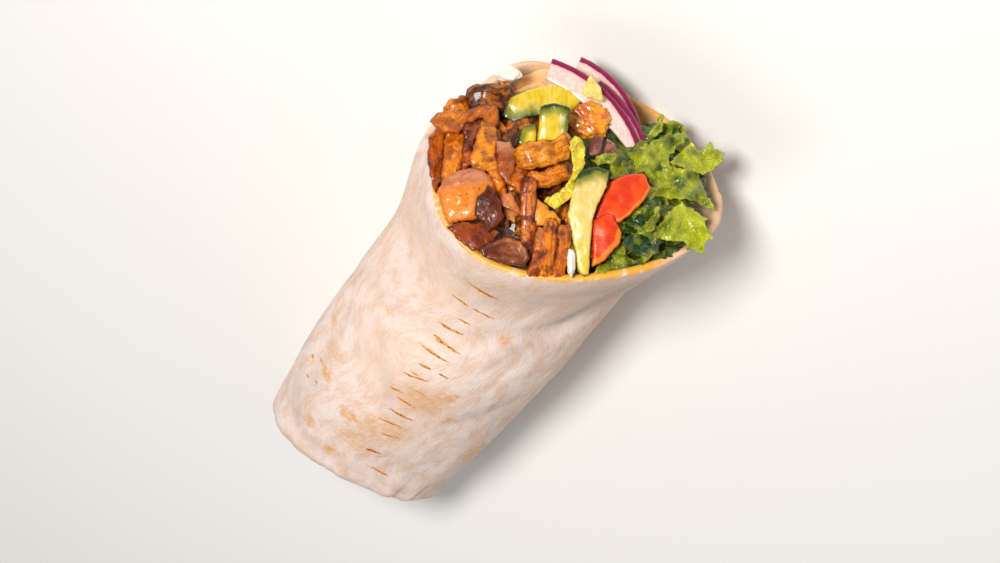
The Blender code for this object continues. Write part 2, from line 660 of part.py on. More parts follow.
def leaf_pieces():
    pieces = []
    for seed, (depth, lean, height, outline) in enumerate(LEAVES.values()):
        pieces.append(sheet(outline, depth, lean, LEAF_THICKNESS, waves(height, seed)))
        pieces.append(stalk(from_front((*middle_of(outline), depth))))
    return pieces


def make_heap(name, finish, pieces, side, operation, group, gaps):
    """One heap of filling: its side of the core, with the pieces that show fused to it."""
    half = collection(f"{name}_half")
    loose = collection(f"{name}_pieces")
    heap = add_object(name, core(), group, finish)
    add_tool(f"{name}_side", side, half)
    boolean(heap, operation, half, "MANIFOLD")
    for i, piece in enumerate(pieces):
        add_tool(f"{name}_piece_{i}", piece, loose, finish)
    boolean(heap, "UNION", loose, "MANIFOLD")
    boolean(heap, "DIFFERENCE", gaps, "MANIFOLD")
    largest_body(heap)
    for piece in loose.objects:
        add_gap(piece, gaps)
    drop_group(half)
    drop_group(loose)


def main():
    clear_scene()
    wrap = collection("gyro_wrap")
    joins = collection("tortilla_turns")
    gaps = collection("gaps")

    tortilla = add_object("tortilla", tortilla_shell(), wrap, "tortilla")
    add_tool("inner_turn", inner_turn(), joins)
    boolean(tortilla, "UNION", joins)
    add_tool("shell_gap", tortilla_shell(CLEAR), gaps)
    add_tool("turn_gap", inner_turn(CLEAR), gaps)

    make_toppings(wrap, gaps)
    make_heap("gyro_meat", "meat", meat_pieces(), half_space(0.0), "INTERSECT", wrap, gaps)
    make_heap("lettuce", "lettuce", leaf_pieces(), half_space(-DIVIDER_SHIFT), "DIFFERENCE", wrap, gaps)
    drop_group(joins)
    drop_group(gaps)


if __name__ == "__main__":
    main()
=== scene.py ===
"""The looks of a gyro wrap that lies on its side, with the open end towards the camera.

Everything is drawn in millimetres from the same rules as the solids, and scaled to metres where
a mesh is made. The tortilla is a rolled tube along X; the filling shows in its mouth at +X.
"""

import functools
import json
import math
import random

import bmesh
import bpy
import numpy as np
from mathutils import Matrix, Vector, noise
from mathutils.geometry import delaunay_2d_cdt

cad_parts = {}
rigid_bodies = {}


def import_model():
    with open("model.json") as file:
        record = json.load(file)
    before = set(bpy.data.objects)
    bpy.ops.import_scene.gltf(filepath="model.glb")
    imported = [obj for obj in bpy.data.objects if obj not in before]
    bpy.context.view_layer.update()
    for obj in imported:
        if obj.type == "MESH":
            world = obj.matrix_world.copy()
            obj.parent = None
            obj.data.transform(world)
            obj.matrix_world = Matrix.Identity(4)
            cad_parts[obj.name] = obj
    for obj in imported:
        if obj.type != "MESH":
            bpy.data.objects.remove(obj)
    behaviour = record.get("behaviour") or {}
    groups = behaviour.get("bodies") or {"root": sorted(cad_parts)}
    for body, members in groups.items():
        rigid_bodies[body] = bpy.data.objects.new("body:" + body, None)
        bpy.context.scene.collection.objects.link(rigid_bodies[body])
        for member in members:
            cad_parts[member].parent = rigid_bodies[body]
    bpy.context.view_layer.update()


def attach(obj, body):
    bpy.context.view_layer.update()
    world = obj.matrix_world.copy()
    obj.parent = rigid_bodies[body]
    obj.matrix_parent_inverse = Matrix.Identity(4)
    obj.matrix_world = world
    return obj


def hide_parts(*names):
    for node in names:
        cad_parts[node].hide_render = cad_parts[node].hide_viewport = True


bl_info = {
    "name": "Gyro wrap",
    "version": (1, 0, 0),
    "blender": (4, 5, 0),
    "location": "View3D > Sidebar > Gyro wrap",
    "description": "Builds a filled, rolled tortilla with its finishes, light and camera",
    "category": "Add Mesh",
}

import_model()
MM = 0.001

# The tube, at even stations from its folded end (s = 0) to its mouth (s = 1)
HALF_WIDTHS = (28.3, 30.7, 31.6, 31.9, 37.7)
SIDE_DRIFTS = (0.7, 0.9, 0.3, 0.5, -0.4)
END_FLATNESS, MOUTH_FLATNESS, FLATNESS_POWER = 0.72, 0.92, 0.7
SETTLE, ORIGIN_X = 1.2, 75.0
END_X, END_SKEW_Y, END_SKEW_Z = 3.2, -0.18, 0.22
MOUTH_X, RIM_SKEW_Y, RIM_SKEW_Z = 137.0, -0.21, -0.325
RIM_WAVES = ((2, 3.9, -1.9), (3, 0.5, 0.8))
NOTCH_DEPTH, NOTCH_AT, NOTCH_SPREAD = 14.0, math.radians(356), math.radians(24)

# The tortilla sheet. Depths are from the tube's face.
WALL_INSIDE, RIM_INSIDE = 2.8, 1.9
LAYER, LAYER_FADE, LAYER_MIDDLE = 1.7, 0.55, 0.6
SEAM_AT, SEAM_GAP = math.radians(206), math.radians(0.7)
DENT_SIZE = 26.0
CAP_DEPTH, CAP_POWER = 8.0, 3.0
CAVITY_FROM = 0.07
FOLD_STEP, FOLD_SOFTNESS = 1.6, 0.05
INNER_FROM, INNER_TO = math.radians(160), math.radians(335)
INNER_ROWS = ((0.70, 0.8, 2.4), (0.75, 1.6, 2.9), (0.82, 3.4, 5.0), (0.90, 3.8, 5.5), (0.965, 3.9, 5.8))
INNER_VALUES = {"inside": 1.0, "stain": 0.35, "crease": 0.0, "end": 0.0}
FOLD_FROM, FOLD_DEPTH = math.radians(262), 8.4
COLUMNS, INNER_COLUMNS = 240, 150
# Rings of the tortilla's mesh: shares of the folded end's radius, and stations along the tube
CAP_SHARES = (
    0.06, 0.14, 0.22, 0.30, 0.38, 0.46, 0.54, 0.62, 0.70, 0.77, 0.83, 0.88, 0.92, 0.95, 0.97, 0.985, 0.994,
    0.999,
)
OUTSIDE = [i / 150 for i in range(147)] + [0.985, 0.99, 0.995, 0.9985]
INSIDE = (
    1.0, 0.99, 0.975, 0.955, 0.93, 0.90, 0.87, 0.84, 0.80, 0.75, 0.70, 0.64, 0.58, 0.45, 0.32, 0.19,
    CAVITY_FROM,
)
# The corner of the folded end is softened this many times, over this many rings on each side.
END_SOFTENED, END_RINGS = 6, 9
FOLD_LINE, FOLD_BEND, PUCKER, PUCKER_SIZE = 0.18, 0.35, 0.5, 6
# The rim's rounded edge: share of its thickness, and how far it stands out
RIM_ROUNDING = ((0.25, 0.45), (0.5, 0.6), (0.75, 0.45))
RIM_TEARS, DIMPLES, INNER_STEPS, CREST_STEPS = 0.35, 0.3, 22, 14
CREASE_SHARE, END_WAVES, END_WRINKLES = 0.8, 1.1, 1.8

# The middle of the mouth, and the crown of the filling over its plane
MOUTH_MIDDLE = Vector((62.0, 0.3, 34.1))
CROWN, CROWN_U, CROWN_V = 9.0, 42.0, 39.0
CORE_CLEAR, CORE_DROP, CORE_EDGE, CORE_NOTCH = 0.8, 2.4, 0.955, 4.0
CORE_START = CAVITY_FROM + 0.012
CORE_STATIONS = (CORE_START, 0.25, 0.42, 0.58, 0.68, 0.76, 0.82, 0.88, CORE_EDGE)
# Beside the inner turn the core keeps clear of it by this much, and ends this share earlier.
BESIDE_ROOM, BESIDE_BACK = 3.4, 0.03
CROWN_RINGS, CROWN_FROM, CROWN_TO, CROWN_LUMPS, LUMP_SIZE = 34, 0.985, 0.030, 1.2, 9.0
SHOULDER = ((0.97, 0.45), (0.88, 0.85), (0.75, 0.95), (0.62, 1.0), (0.45, 1.0), (0.30, 1.0), (0.15, 1.0))
DIVIDER = ((-0.85, 2.0), (-0.42, 1.0), (-0.10, 0.45), (0.12, 0.16), (0.76, -0.33), (2.0, -1.1))
DIVIDER_SHIFT = 0.018
LOOK_DOWN, LOOK_TURN = math.radians(54), math.radians(-141.5)

# Marks on the tortilla are placed by angle round the tube in degrees and share of its length.
AROUND, ALONG = 32.0, 150.0
SLITS = (
    (84, 0.872, 101, 0.831, 0.75), (82, 0.775, 93, 0.758, 0.5), (93, 0.758, 107, 0.731, 0.42),
    (91, 0.700, 99, 0.693, 0.5), (84, 0.659, 100, 0.650, 0.65), (86, 0.616, 96, 0.604, 0.85),
    (95, 0.605, 104, 0.589, 0.6), (82, 0.575, 102, 0.554, 0.5), (89, 0.514, 97, 0.514, 0.6),
    (86, 0.459, 100, 0.470, 0.5), (100, 0.511, 107, 0.499, 0.45), (88, 0.478, 94, 0.476, 0.35),
    (90, 0.428, 107, 0.411, 0.35), (85, 0.389, 94, 0.392, 0.5), (92, 0.369, 104, 0.355, 0.5),
    (92, 0.315, 108, 0.304, 0.65), (91, 0.267, 108, 0.262, 0.5), (98, 0.213, 108, 0.221, 0.45),
    (96, 0.128, 107, 0.131, 0.85), (105, 0.062, 121, 0.048, 0.5), (40, 0.276, 47, 0.267, 0.45),
    (33, 0.250, 38, 0.251, 0.5), (40, 0.201, 44, 0.199, 0.4), (48, 0.217, 52, 0.216, 0.5),
)
SPOTS = (
    (32, 0.379, 3.2, 0.35), (60, 0.576, 1.9, 0.8), (52, 0.270, 3.4, 0.55), (79, 0.210, 4.4, 0.55),
    (61, 0.087, 3.2, 0.7), (80, 0.040, 3.0, 0.5), (123, 0.335, 2.8, 0.75), (117, 0.659, 2.0, 0.6),
    (104, 0.395, 9.0, 0.38), (98, 0.230, 9.0, 0.30), (112, 0.430, 4.0, 0.4), (88, 0.130, 8.0, 0.28),
    (45, 0.330, 5.0, 0.25), (250, 0.50, 7.0, 0.4), (300, 0.35, 6.0, 0.4), (180, 0.55, 7.0, 0.35),
    (210, 0.25, 5.0, 0.5), (330, 0.70, 5.0, 0.4), (160, 0.20, 6.0, 0.35), (350, 0.15, 5.0, 0.4),
)
# Creases: both ends as above, then depth and width
CREASES = (
    (168, 0.97, 141, 0.70, 1.3, 6.0), (141, 0.70, 126, 0.56, 0.7, 5.0), (63, 0.517, 109, 0.215, 0.5, 3.0),
    (36, 0.44, 50, 0.20, 0.6, 3.5), (48, 0.62, 60, 0.40, 0.35, 4.0), (150, 0.42, 120, 0.30, 0.4, 4.0),
    (22, 0.08, 70, 0.02, 0.4, 3.0), (300, 0.9, 250, 0.4, 0.6, 5.0), (200, 0.8, 230, 0.3, 0.5, 5.0),
)

# Strips of meat in the frame of the mouth: both ends, width, thickness, bend, colour and char
STRIPS = (
    ((-32.5, -4.5, 6.5), (-23.0, 2.5, 9.0), 5.6, 5.0, 1.2, (0.13, 0.018, 0.003), 0.8),
    ((-34.5, -8.5, 3.5), (-32.0, -2.5, 4.5), 4.0, 4.0, 0.8, (0.80, 0.27, 0.012), 0.3),
    ((-10.5, -16.2, 11.5), (-1.0, -6.4, 14.5), 5.4, 5.0, 1.2, (0.94, 0.46, 0.022), 0.3),
    ((-4.2, -19.8, 10.0), (1.8, -11.4, 12.0), 3.7, 3.8, 0.8, (0.90, 0.34, 0.016), 0.3),
    ((-5.2, -21.0, 12.5), (5.0, -33.0, 1.0), 3.4, 3.4, 0.8, (0.60, 0.15, 0.008), 0.8),
    ((6.2, -26.8, 9.6), (12.0, -34.2, -3.0), 3.1, 3.6, 0.4, (0.80, 0.26, 0.012), 0.6),
    ((9.6, -25.8, 9.2), (15.2, -32.8, -3.0), 3.0, 3.4, 0.4, (0.62, 0.15, 0.008), 0.6),
    ((6.5, -30.5, 5.0), (8.8, -35.5, -3.0), 2.8, 3.0, 0.3, (0.62, 0.15, 0.008), 0.6),
    ((-20.0, -18.0, 4.5), (-12.0, -19.0, 5.0), 6.0, 4.0, 0.8, (0.70, 0.19, 0.008), 0.5),
    ((-30.0, -2.0, 3.0), (-33.5, 6.0, 0.0), 5.0, 4.0, 0.6, (0.20, 0.03, 0.003), 0.8),
)

# Slices and soft pieces: depth towards the viewer, lean with the mouth, thickness and outline
SLICES = {
    "crisp_flake": (3.5, 0.3, 1.0, ((4.5, 24.5), (7, 20.5), (7.5, 17), (4, 18), (2, 19), (2.5, 21.5))),
    "cucumber_spear": (21.5, 0.2, 3.6, (
        (1, -1.5), (5, -0.5), (8.5, -1.5), (7.5, -6), (5, -11), (4, -14.5), (3.5, -20), (3, -28),
        (1.5, -28.5), (0, -27), (-0.5, -22), (-2.5, -13), (-1, -6.5), (0, -3.5),
    )),
    "cucumber_block": (12.2, 0.1, 4.6, ((-9, 15.5), (-5.5, 16.3), (-1, 15), (-2.5, 6.5), (-10, 6))),
    "tomato_upper": (16.6, 0.35, 4.8, (
        (9, -4), (13, -2.2), (17.5, -1.8), (19.3, -6), (17.5, -9), (13, -13.5), (10.5, -15), (4, -14.3),
        (6.5, -8.5),
    )),
    "tomato_lower": (21.0, 0.2, 4.6, (
        (4, -14.3), (7, -12.5), (9, -12.6), (11.5, -17.5), (11, -20), (7, -24.5), (3.7, -26.3),
    )),
    "cucumber_strip": (1.8, 0.2, 3.2, (
        (-19, 17), (-16.5, 18.5), (-12.5, 20.3), (-8, 21.4), (-4, 21.7), (-1, 20.4), (2, 17.5),
        (-0.5, 14.6), (-5, 14.6), (-12.5, 12.7), (-16, 11.3), (-18.5, 13),
    )),
    "cucumber_end": (9.0, 0.3, 3.0, ((-14, 10), (-10, 11.5), (-10, 5.5), (-13, 4), (-15, 6))),
    "yellow_lettuce": (18.0, 0.3, 1.0, (
        (-2, 5.5), (-0.3, 7.5), (1.5, 6.5), (2.5, 4), (2, 1.5), (2.5, 0), (-0.5, -4), (-0.5, -7),
        (-2, -9), (-5, -11.5), (-7.5, -10.5), (-8.5, -9), (-4.5, -7), (-2.4, -5), (-1, -1.5), (-1.4, 2.5),
    )),
    "cooked_onion_left": (8.7, 0.4, 2.4, ((3, 4.5), (4.5, 8), (7.5, 8), (6.5, 3), (3.5, 2.5))),
    "cooked_onion_right": (7.8, 0.4, 2.4, ((7, 3), (8.3, 7.5), (10.3, 6), (10.8, 4), (8.5, 3))),
}
# The sides of a slice that carry its skin, and how far the skin's colour reaches in
SKINS = {
    "cucumber_spear": (
        (((0.5, -2.2), (4.5, -0.5), (8.7, -1.2)), 4.6), (((-1.0, -26.0), (0.6, -28.6), (1.8, -28.8)), 1.3),
    ),
    "cucumber_block": ((((-9.4, 15.3), (-5.5, 16.5), (-1, 15.2), (-0.8, 10.0)), 4.4),),
    "cucumber_strip": ((((-19.3, 16.8), (-18.8, 13.0), (-16.2, 11.1), (-10.6, 12.9)), 4.6),),
    "cucumber_end": ((((-15.4, 6.0), (-14.3, 10.3), (-10, 11.9)), 3.2),),
    "tomato_upper": ((((19.6, -6), (17.7, -9.2), (13.2, -13.7), (10.6, -15.4)), 1.8),),
    "tomato_lower": ((((11.8, -17.5), (11.3, -20.2), (7.2, -24.8), (3.7, -26.6)), 2.6),),
}

# Red onion: depth, lean, thickness, arc (middle, radius, first and last angle) and band widths
ONIONS = {
    "red_onion_front": (0.3, 0.25, 1.5, (-17.7, -6.2), 37.3, 71, 17, (6.0, 6.6, 3.5)),
    "red_onion_middle": (-2.3, 0.35, 1.4, (-12.2, -3.0), 32.8, 54, 16, (1.6, 3.0, 1.8)),
    "red_onion_back": (-6.5, 0.3, 1.5, (-9.2, 4.5), 28.1, 66, 10, (5.4, 4.2, 2.0)),
}
ONION_EDGE = 3.0

# Leaves: depth, lean, wave height, outline, then brightness, which paints light and shade on the leaf, and
# the two ends of the midrib
LEAVES = {
    "torn_long": (4.9, 0.7, 1.8, (
        (9, 1), (15.5, 4.5), (22.5, 8), (29.5, 9.5), (28, 6.5), (25, 3.5), (24.5, 0.5), (32, -1),
        (34, -6), (36.5, -11.5), (29, -8.5), (19, -8), (19.5, -5.5), (18, -1.5), (9, -3.5),
    ), 0.72, (9, -1), (36, -9)),
    "overhanging_upper": (0.6, 0.8, 1.2, (
        (24.5, 1), (28, 4.5), (31, 7), (33.5, 4.5), (36, 7), (37, 5), (40, 4.5), (38.5, 2), (36.5, -0.5),
        (33, -2), (28, 0),
    ), 0.95, (24, 0), (40, 3)),
    "overhanging_lower": (13.3, 0.55, 1.2, (
        (19, -18), (22, -14), (27, -9), (30, -11), (33.7, -13.5), (33, -15), (35, -18.5), (33, -20),
        (33, -22.5), (28, -21.5), (27.8, -19.3), (20.5, -19),
    ), 1.0, (20, -18.5), (34, -15)),
    "curled": (15.0, 0.3, 0.8, (
        (17, -17), (19.5, -12), (21.5, -9), (22, -11), (20.5, -15), (19, -17.5),
    ), 0.6, (18, -17), (22, -9)),
    "upright": (-3.5, 0.1, 0.5, (
        (19.3, 9), (21.7, 11.6), (23, 15), (24, 14), (23.3, 10), (20, 7.3),
    ), 0.75, (20, 8), (23.5, 15)),
    "dark_tip": (-7.2, 0.5, 0.3, ((25, 9), (27, 11.3), (28.4, 9.7), (27.2, 7.8)), 0.3, (26, 8), (27, 11)),
    "glossy": (18.4, 0.45, 1.0, (
        (11, -20), (13, -18), (17.5, -17.6), (22, -19.4), (20.5, -22.5), (17.3, -24.7), (13.5, -22),
    ), 0.22, (11, -20), (22, -21)),
    "under_rim": (17.2, 0.8, 0.8, (
        (3.5, -28), (6.5, -24.7), (10.3, -21.7), (15, -24.2), (19, -22.2), (28, -20), (25, -23.4),
        (15.3, -26), (9, -27.5),
    ), 0.2, (5, -27), (27, -21)),
    "shaded": (13.5, 0.7, 1.0, (
        (11, -15), (15.7, -11), (20, -7.7), (22.8, -8.5), (20.3, -12), (18, -16.5), (11.6, -18),
    ), 0.12, (11, -16), (22, -9)),
    "stalk": (17.2, 0.5, 0.3, (
        (13, -13.8), (14.7, -14.3), (20.7, -19), (19, -19.5), (16, -17), (13, -15.3),
    ), 0.4, (13, -14.5), (20, -19.3)),
    "pale_end": (10.6, 0.6, 0.7, (
        (3.7, 1.5), (6.3, 3.1), (9.4, 3.4), (12, 2.6), (9.4, 0.8), (5.7, 0.2),
    ), 0.55, (4, 1.5), (12, 2)),
}

# Broad slices of meat: depth, lean, bow, outline, colour, second colour (far side; painted highlight on the
# cup) and its direction, char
MEAT_SLICES = {
    "band_top": (8.2, 0.75, 0.6, (
        (-36.5, 11.5), (-35, 13.8), (-31.5, 14.3), (-28.3, 14.2), (-24.6, 15.8), (-21.5, 16.2), (-20.4, 14.5),
        (-20.7, 11.3), (-22.3, 9.8), (-24.6, 12.5), (-28, 11), (-29.5, 8.8), (-33.3, 9),
    ), (0.62, 0.20, 0.012), (0.88, 0.36, 0.03), 150, 0.35),
    "band_left": (9.4, 0.75, 0.4, (
        (-37.7, 7), (-35.7, 9.8), (-33.5, 9.1), (-34, 2.5), (-34.6, -3.5), (-35.8, -6.2), (-37, -3.5),
        (-37.8, 1.7),
    ), (0.52, 0.13, 0.006), (0.16, 0.03, 0.004), 0, 0.4),
    "band_outer": (11.2, 0.75, 0.9, (
        (-33.1, 9), (-28.6, 9.5), (-28.4, 4.7), (-29, 0), (-31.5, -2.7), (-34.2, -4), (-33.6, 2.5),
    ), (0.90, 0.34, 0.020), (0.62, 0.17, 0.008), -20, 0.3),
    "band_dark": (10.2, 0.75, 0.5, (
        (-28.8, 13.4), (-24, 13.4), (-24.5, 10), (-26.2, 6), (-26.4, 0.8), (-28.8, -0.5), (-28.9, 5.6),
    ), (0.24, 0.024, 0.002), (0.46, 0.08, 0.005), -70, 0.6),
    "band_bright": (13.4, 0.7, 0.8, (
        (-24, 11.2), (-20.6, 9.6), (-20.2, 6), (-20.7, 2.5), (-19.8, -1), (-18, -5.3), (-18.5, -8),
        (-20.7, -5.8), (-22.4, -1.4), (-25.9, -0.6), (-26.7, 1.7), (-25.8, 4.7), (-25, 7),
    ), (0.97, 0.46, 0.035), (0.88, 0.32, 0.015), -80, 0.45),
    "band_middle": (13.6, 0.7, 0.6, (
        (-15.3, 4), (-12.8, 2.8), (-12, -1.8), (-13.7, -3.5), (-13.9, -7), (-15.5, -6.2), (-17.2, -3.6),
        (-16, 0),
    ), (0.66, 0.20, 0.010), (0.80, 0.28, 0.014), -90, 0.4),
    "tail": (16.4, 0.45, 0.4, (
        (-21.5, -3.6), (-18.5, -7), (-15.5, -7), (-13.7, -10.5), (-13.2, -16.2), (-15.5, -15), (-18, -14),
        (-19, -10.5), (-20.3, -7),
    ), (0.70, 0.38, 0.46), (0.90, 0.44, 0.16), -90, 0.1),
    "petal": (22.0, 0.2, 1.2, (
        (-22.2, -5.3), (-20.7, -7.1), (-19.1, -10.1), (-18.5, -13.2), (-19.8, -15.8), (-22.2, -17.3),
        (-23.7, -14.9), (-25.9, -13.2), (-25.5, -8.8), (-23.7, -7.1),
    ), (0.09, 0.005, 0.001), (0.24, 0.035, 0.005), -40, 0.3),
    # The curled slice's second colour is its painted highlight
    "cup": (24.2, 0.4, -2.5, (
        (-24.5, -21.8), (-22.5, -19.7), (-19.4, -18.6), (-17, -18.3), (-14.4, -19), (-12.2, -21.3),
        (-11.8, -24), (-13, -25.8), (-17, -25.5), (-21.5, -24.5), (-24, -23.2),
    ), (0.15, 0.020, 0.020), (0.80, 0.44, 0.44), 60, 0.2),
    "pale": (18.0, 0.3, 2.0, (
        (-35.4, -6.8), (-34.2, -4), (-31.3, -2), (-28, -0.8), (-24.6, -0.8), (-22.2, -2.4), (-20.6, -5.4),
        (-19.6, -9), (-21.8, -12.4), (-25.9, -14.3), (-29.8, -14.4), (-32.6, -15.6), (-34.2, -11),
    ), (0.92, 0.36, 0.08), (0.68, 0.34, 0.50), 100, 0.08),
    "slab": (21.3, 0.5, 0.8, (
        (-33, -15.6), (-27.5, -14.6), (-23.4, -15.2), (-19, -17.2), (-21.4, -20), (-26, -22.3), (-30, -19.4),
    ), (0.30, 0.05, 0.003), (0.66, 0.24, 0.015), 70, 0.3),
    "peach": (20.7, 0.4, 0.8, (
        (-10.3, -8.3), (-6, -12), (-3.7, -14), (-4.3, -16), (-10.3, -15.5), (-11.3, -12),
    ), (0.92, 0.50, 0.12), (0.90, 0.55, 0.25), -60, 0.05),
    "mauve": (21.7, 0.4, 0.5, (
        (-10, -15.7), (-6.3, -16.2), (-7.8, -19.2), (-9.3, -21.3), (-10.8, -19.2),
    ), (0.52, 0.24, 0.30), (0.58, 0.32, 0.42), 45, 0.2),
    "pink": (19.7, 0.4, 0.6, (
        (-18.6, -7), (-16.4, -7.5), (-14.3, -10.6), (-13.8, -13), (-19.4, -10.4),
    ), (0.76, 0.34, 0.32), (0.66, 0.20, 0.08), 0, 0.2),
    "flesh": (13.8, 0.4, 0.8, (
        (-20.4, 6.3), (-16.8, 6.1), (-15.3, 3.5), (-15.3, -1.2), (-17.4, -5.4), (-20, -2),
    ), (0.44, 0.13, 0.08), (0.66, 0.40, 0.62), 90, 0.2),
}
MEAT_THICKNESS, BAND_THICKNESS, BAND_GROWTH = 2.2, 3.8, 1.14
STRIP_WIDENING, STRIP_THICKENING, LUMPS = 1.15, 1.05, 0.07
LEAF_THICKNESS, SCRAP_THICKNESS, SLICE_BOW, WAVE_PACE, EDGE_POWER = 0.8, 0.6, 0.35, 0.55, 2.5
BOW_REACH = 50.0
# Painted shade on every leaf, and patches of painted light and shade across it
LEAF_SHADE, LEAF_PATCHES = -0.14, 0.7

# Where small shreds of meat and scraps of leaf fill the gaps, on the plane of the mouth
MEAT_AREA = (
    (-35, -15), (-24, -28), (-6, -35), (12, -35), (11, -24), (5, -12), (-2, -5), (-14, 2), (-28, 9),
    (-37, -2),
)
SALAD_AREA = (
    (13, -32), (24, -28), (33, -14), (36, 2), (33, 16), (22, 27), (12, 24), (6, 10), (9, -2), (15, -14),
)
STREWN_U, STREWN_V, STREWN_REACH = 35, 32, 0.80
SHRED_GAP, SCRAP_GAP, SHRED_SEED = 2.9, 2.7, 40
# Ranges that the shreds and scraps are drawn from. Turns are in degrees: middle and spread.
SHRED_RISE, SHRED_TURN, SHRED_REACH, SHRED_TIP = (-0.4, 1.3), (-62, 22), (2.6, 4.6), (-1.2, 1.2)
SHRED_WIDTH, SHRED_THICKNESS, SHRED_BEND, SHRED_CHAR = (1.8, 3.6), (1.6, 2.6), (0.0, 0.8), (0.3, 0.9)
SCRAP_RISE, SCRAP_REACH, SCRAP_CORNERS, SCRAP_SIZE = 3.6, (2.6, 4.4), (6, 7, 8), (0.55, 1.25)
SCRAP_LEAN, SCRAP_LIGHT = (0.3, 1.2), (0.0, 0.12)
SHRED_TINTS = (
    (0.60, 0.20, 0.012), (0.36, 0.08, 0.006), (0.70, 0.28, 0.03), (0.14, 0.02, 0.003), (0.20, 0.03, 0.004),
)
# The glaze tints all of the meat.
GLAZE = (0.88, 0.62, 0.20)
# Values of the two beds. Where none is given, it is the place of the point.
# The meat bed's dark tint and the salad bed's low light are painted shade in the depth under the loose pieces
MEAT_BED = {"tint": (0.06, 0.010, 0.002), "char": 0.8, "grain": None, "fibrous": 0.5, "from_edge": 9.0}
SALAD_BED = {"light": 0.05, "leaf": None, "from_edge": 9.0}
BED_RELIEF = {
    "Broad height": 2.2 * MM, "Broad size": 4.5 * MM, "Fine height": 0.9 * MM, "Fine size": 1.4 * MM,
}

# Soft finishes: two colours that run into each other, specks, roughness, coat, pace and relief
SOFT_LOOKS = {
    "cooked onion": ((0.16, 0.035, 0.020), (0.36, 0.13, 0.10), (0.04, 0.006, 0.004), 0.32, 0.5, 260.0, 0.6),
    "crisp flake": ((0.84, 0.66, 0.20), (0.70, 0.55, 0.12), (0.50, 0.28, 0.04), 0.55, 0.0, 700.0, 0.8),
    "chilli sauce": ((0.86, 0.34, 0.012), (0.66, 0.13, 0.020), (0.84, 0.52, 0.06), 0.16, 0.7, 300.0, 0.9),
    "garlic sauce": ((0.90, 0.87, 0.80), (0.86, 0.80, 0.70), (0.88, 0.84, 0.76), 0.28, 0.4, 240.0, 0.3),
    "crumbs of crust": (
        (0.06, 0.014, 0.004), (0.20, 0.06, 0.010), (0.03, 0.008, 0.003), 0.45, 0.2, 900.0, 0.4,
    ),
}

# Sauces: middle and half sizes on the plane that faces the viewer, and towards the viewer
BLOBS = {
    "chilli_sauce": ((4.1, 12.2, 1.4), (5.6, 4.3, 1.6)),
    "garlic_sauce_front": ((-1.5, -25.0, 22.4), (1.1, 3.4, 2.0)),
    "garlic_sauce_back": ((-17.2, 25.2, -6.2), (3.4, 2.1, 1.4)),
}

# The camera looks at this point along the way that the outlines face.
CAMERA_TARGET, CAMERA_AWAY, CAMERA_LENS = Vector((14.5, -3.0, 28.8)), 600.0, 78.07
# The floor's half width and its level just under the wrap, in metres
FLOOR_HALF, FLOOR_LEVEL = 1.6, -0.0002
# Round lights: the way to them, distance and size in metres, and colour
LIGHTS = {
    "key": ((0.46, 0.27, 0.82), 0.75, 0.22, (1.0, 0.97, 0.93)),
    "fill": ((0.55, -0.75, 0.45), 0.85, 0.55, (1.0, 0.95, 0.90)),
    "top": ((-0.40, 0.12, 0.90), 0.8, 0.35, (1.0, 0.97, 0.94)),
}
TOP_SHARE = 1.7


def colour_setting(name, description, default):
    return bpy.props.FloatVectorProperty(
        name=name, description=description, default=default, subtype="COLOR", size=3, min=0.0, max=1.0
    )


def length_setting(name, description, default):
    return bpy.props.FloatProperty(
        name=name, description=description, default=default * MM, min=0.0, unit="LENGTH", precision=5
    )


def power_setting(name, description, default):
    return bpy.props.FloatProperty(
        name=name, description=description, default=default, min=0.0, unit="POWER"
    )


class GyroWrapSettings(bpy.types.PropertyGroup):
    dent_depth: length_setting("Dent depth", "How deep the broad dents of the tortilla are", 0.9)
    wrinkle_height: length_setting("Wrinkle height", "Height of the wrinkles along the tortilla", 0.32)
    fibre_height: length_setting("Fibre height", "Height of the fibres of the meat", 0.38)
    ruffle_height: length_setting("Ruffle height", "Height of the small ruffles of the leaves", 0.8)
    point_spacing: length_setting("Point spacing", "Distance between the points of a slice's mesh", 0.55)
    crumb_size: length_setting("Crumb size", "Largest size of the crumbs of crust and spice", 0.55)
    crumb_density: bpy.props.FloatProperty(
        name="Crumb density", description="Crumbs on each square metre of meat", default=90000.0, min=0.0
    )
    crumb_seed: bpy.props.IntProperty(name="Crumb seed", description="Picks where the crumbs lie", default=4)
    flour: colour_setting("Flour", "Palest parts of the tortilla", (0.89, 0.72, 0.65))
    dough: colour_setting("Dough", "Baked dough of the tortilla", (0.80, 0.55, 0.42))
    toast: colour_setting("Toast", "Blotches where the tortilla is toasted", (0.78, 0.41, 0.15))
    leaf_bright: colour_setting("Bright leaf", "Leaves in full light", (0.43, 0.47, 0.003))
    # The dark leaf colour is both the deep green of the leaves and their painted shade where their brightness
    # is low
    leaf_dark: colour_setting("Dark leaf", "Deep green leaves", (0.010, 0.045, 0.002))
    cucumber_flesh: colour_setting("Cucumber flesh", "Flesh of the cucumber", (0.76, 0.51, 0.11))
    tomato_flesh: colour_setting("Tomato flesh", "Cut face of the tomato", (0.66, 0.034, 0.001))
    onion_skin: colour_setting("Onion skin", "Outer edge of each layer of red onion", (0.25, 0.002, 0.055))
    floor_colour: colour_setting("Floor", "The plain floor", (0.84, 0.83, 0.81))
    key_power: power_setting("Key light", "Power of the main soft light", 5.7)
    fill_power: power_setting("Fill light", "Power of the light on the other side", 0.6)
    world_strength: bpy.props.FloatProperty(
        name="Ambient light", description="Strength of the light from all round", default=0.22, min=0.0
    )


def settings():
    return bpy.context.scene.gyro_wrap


def in_mm(length):
    return length / MM


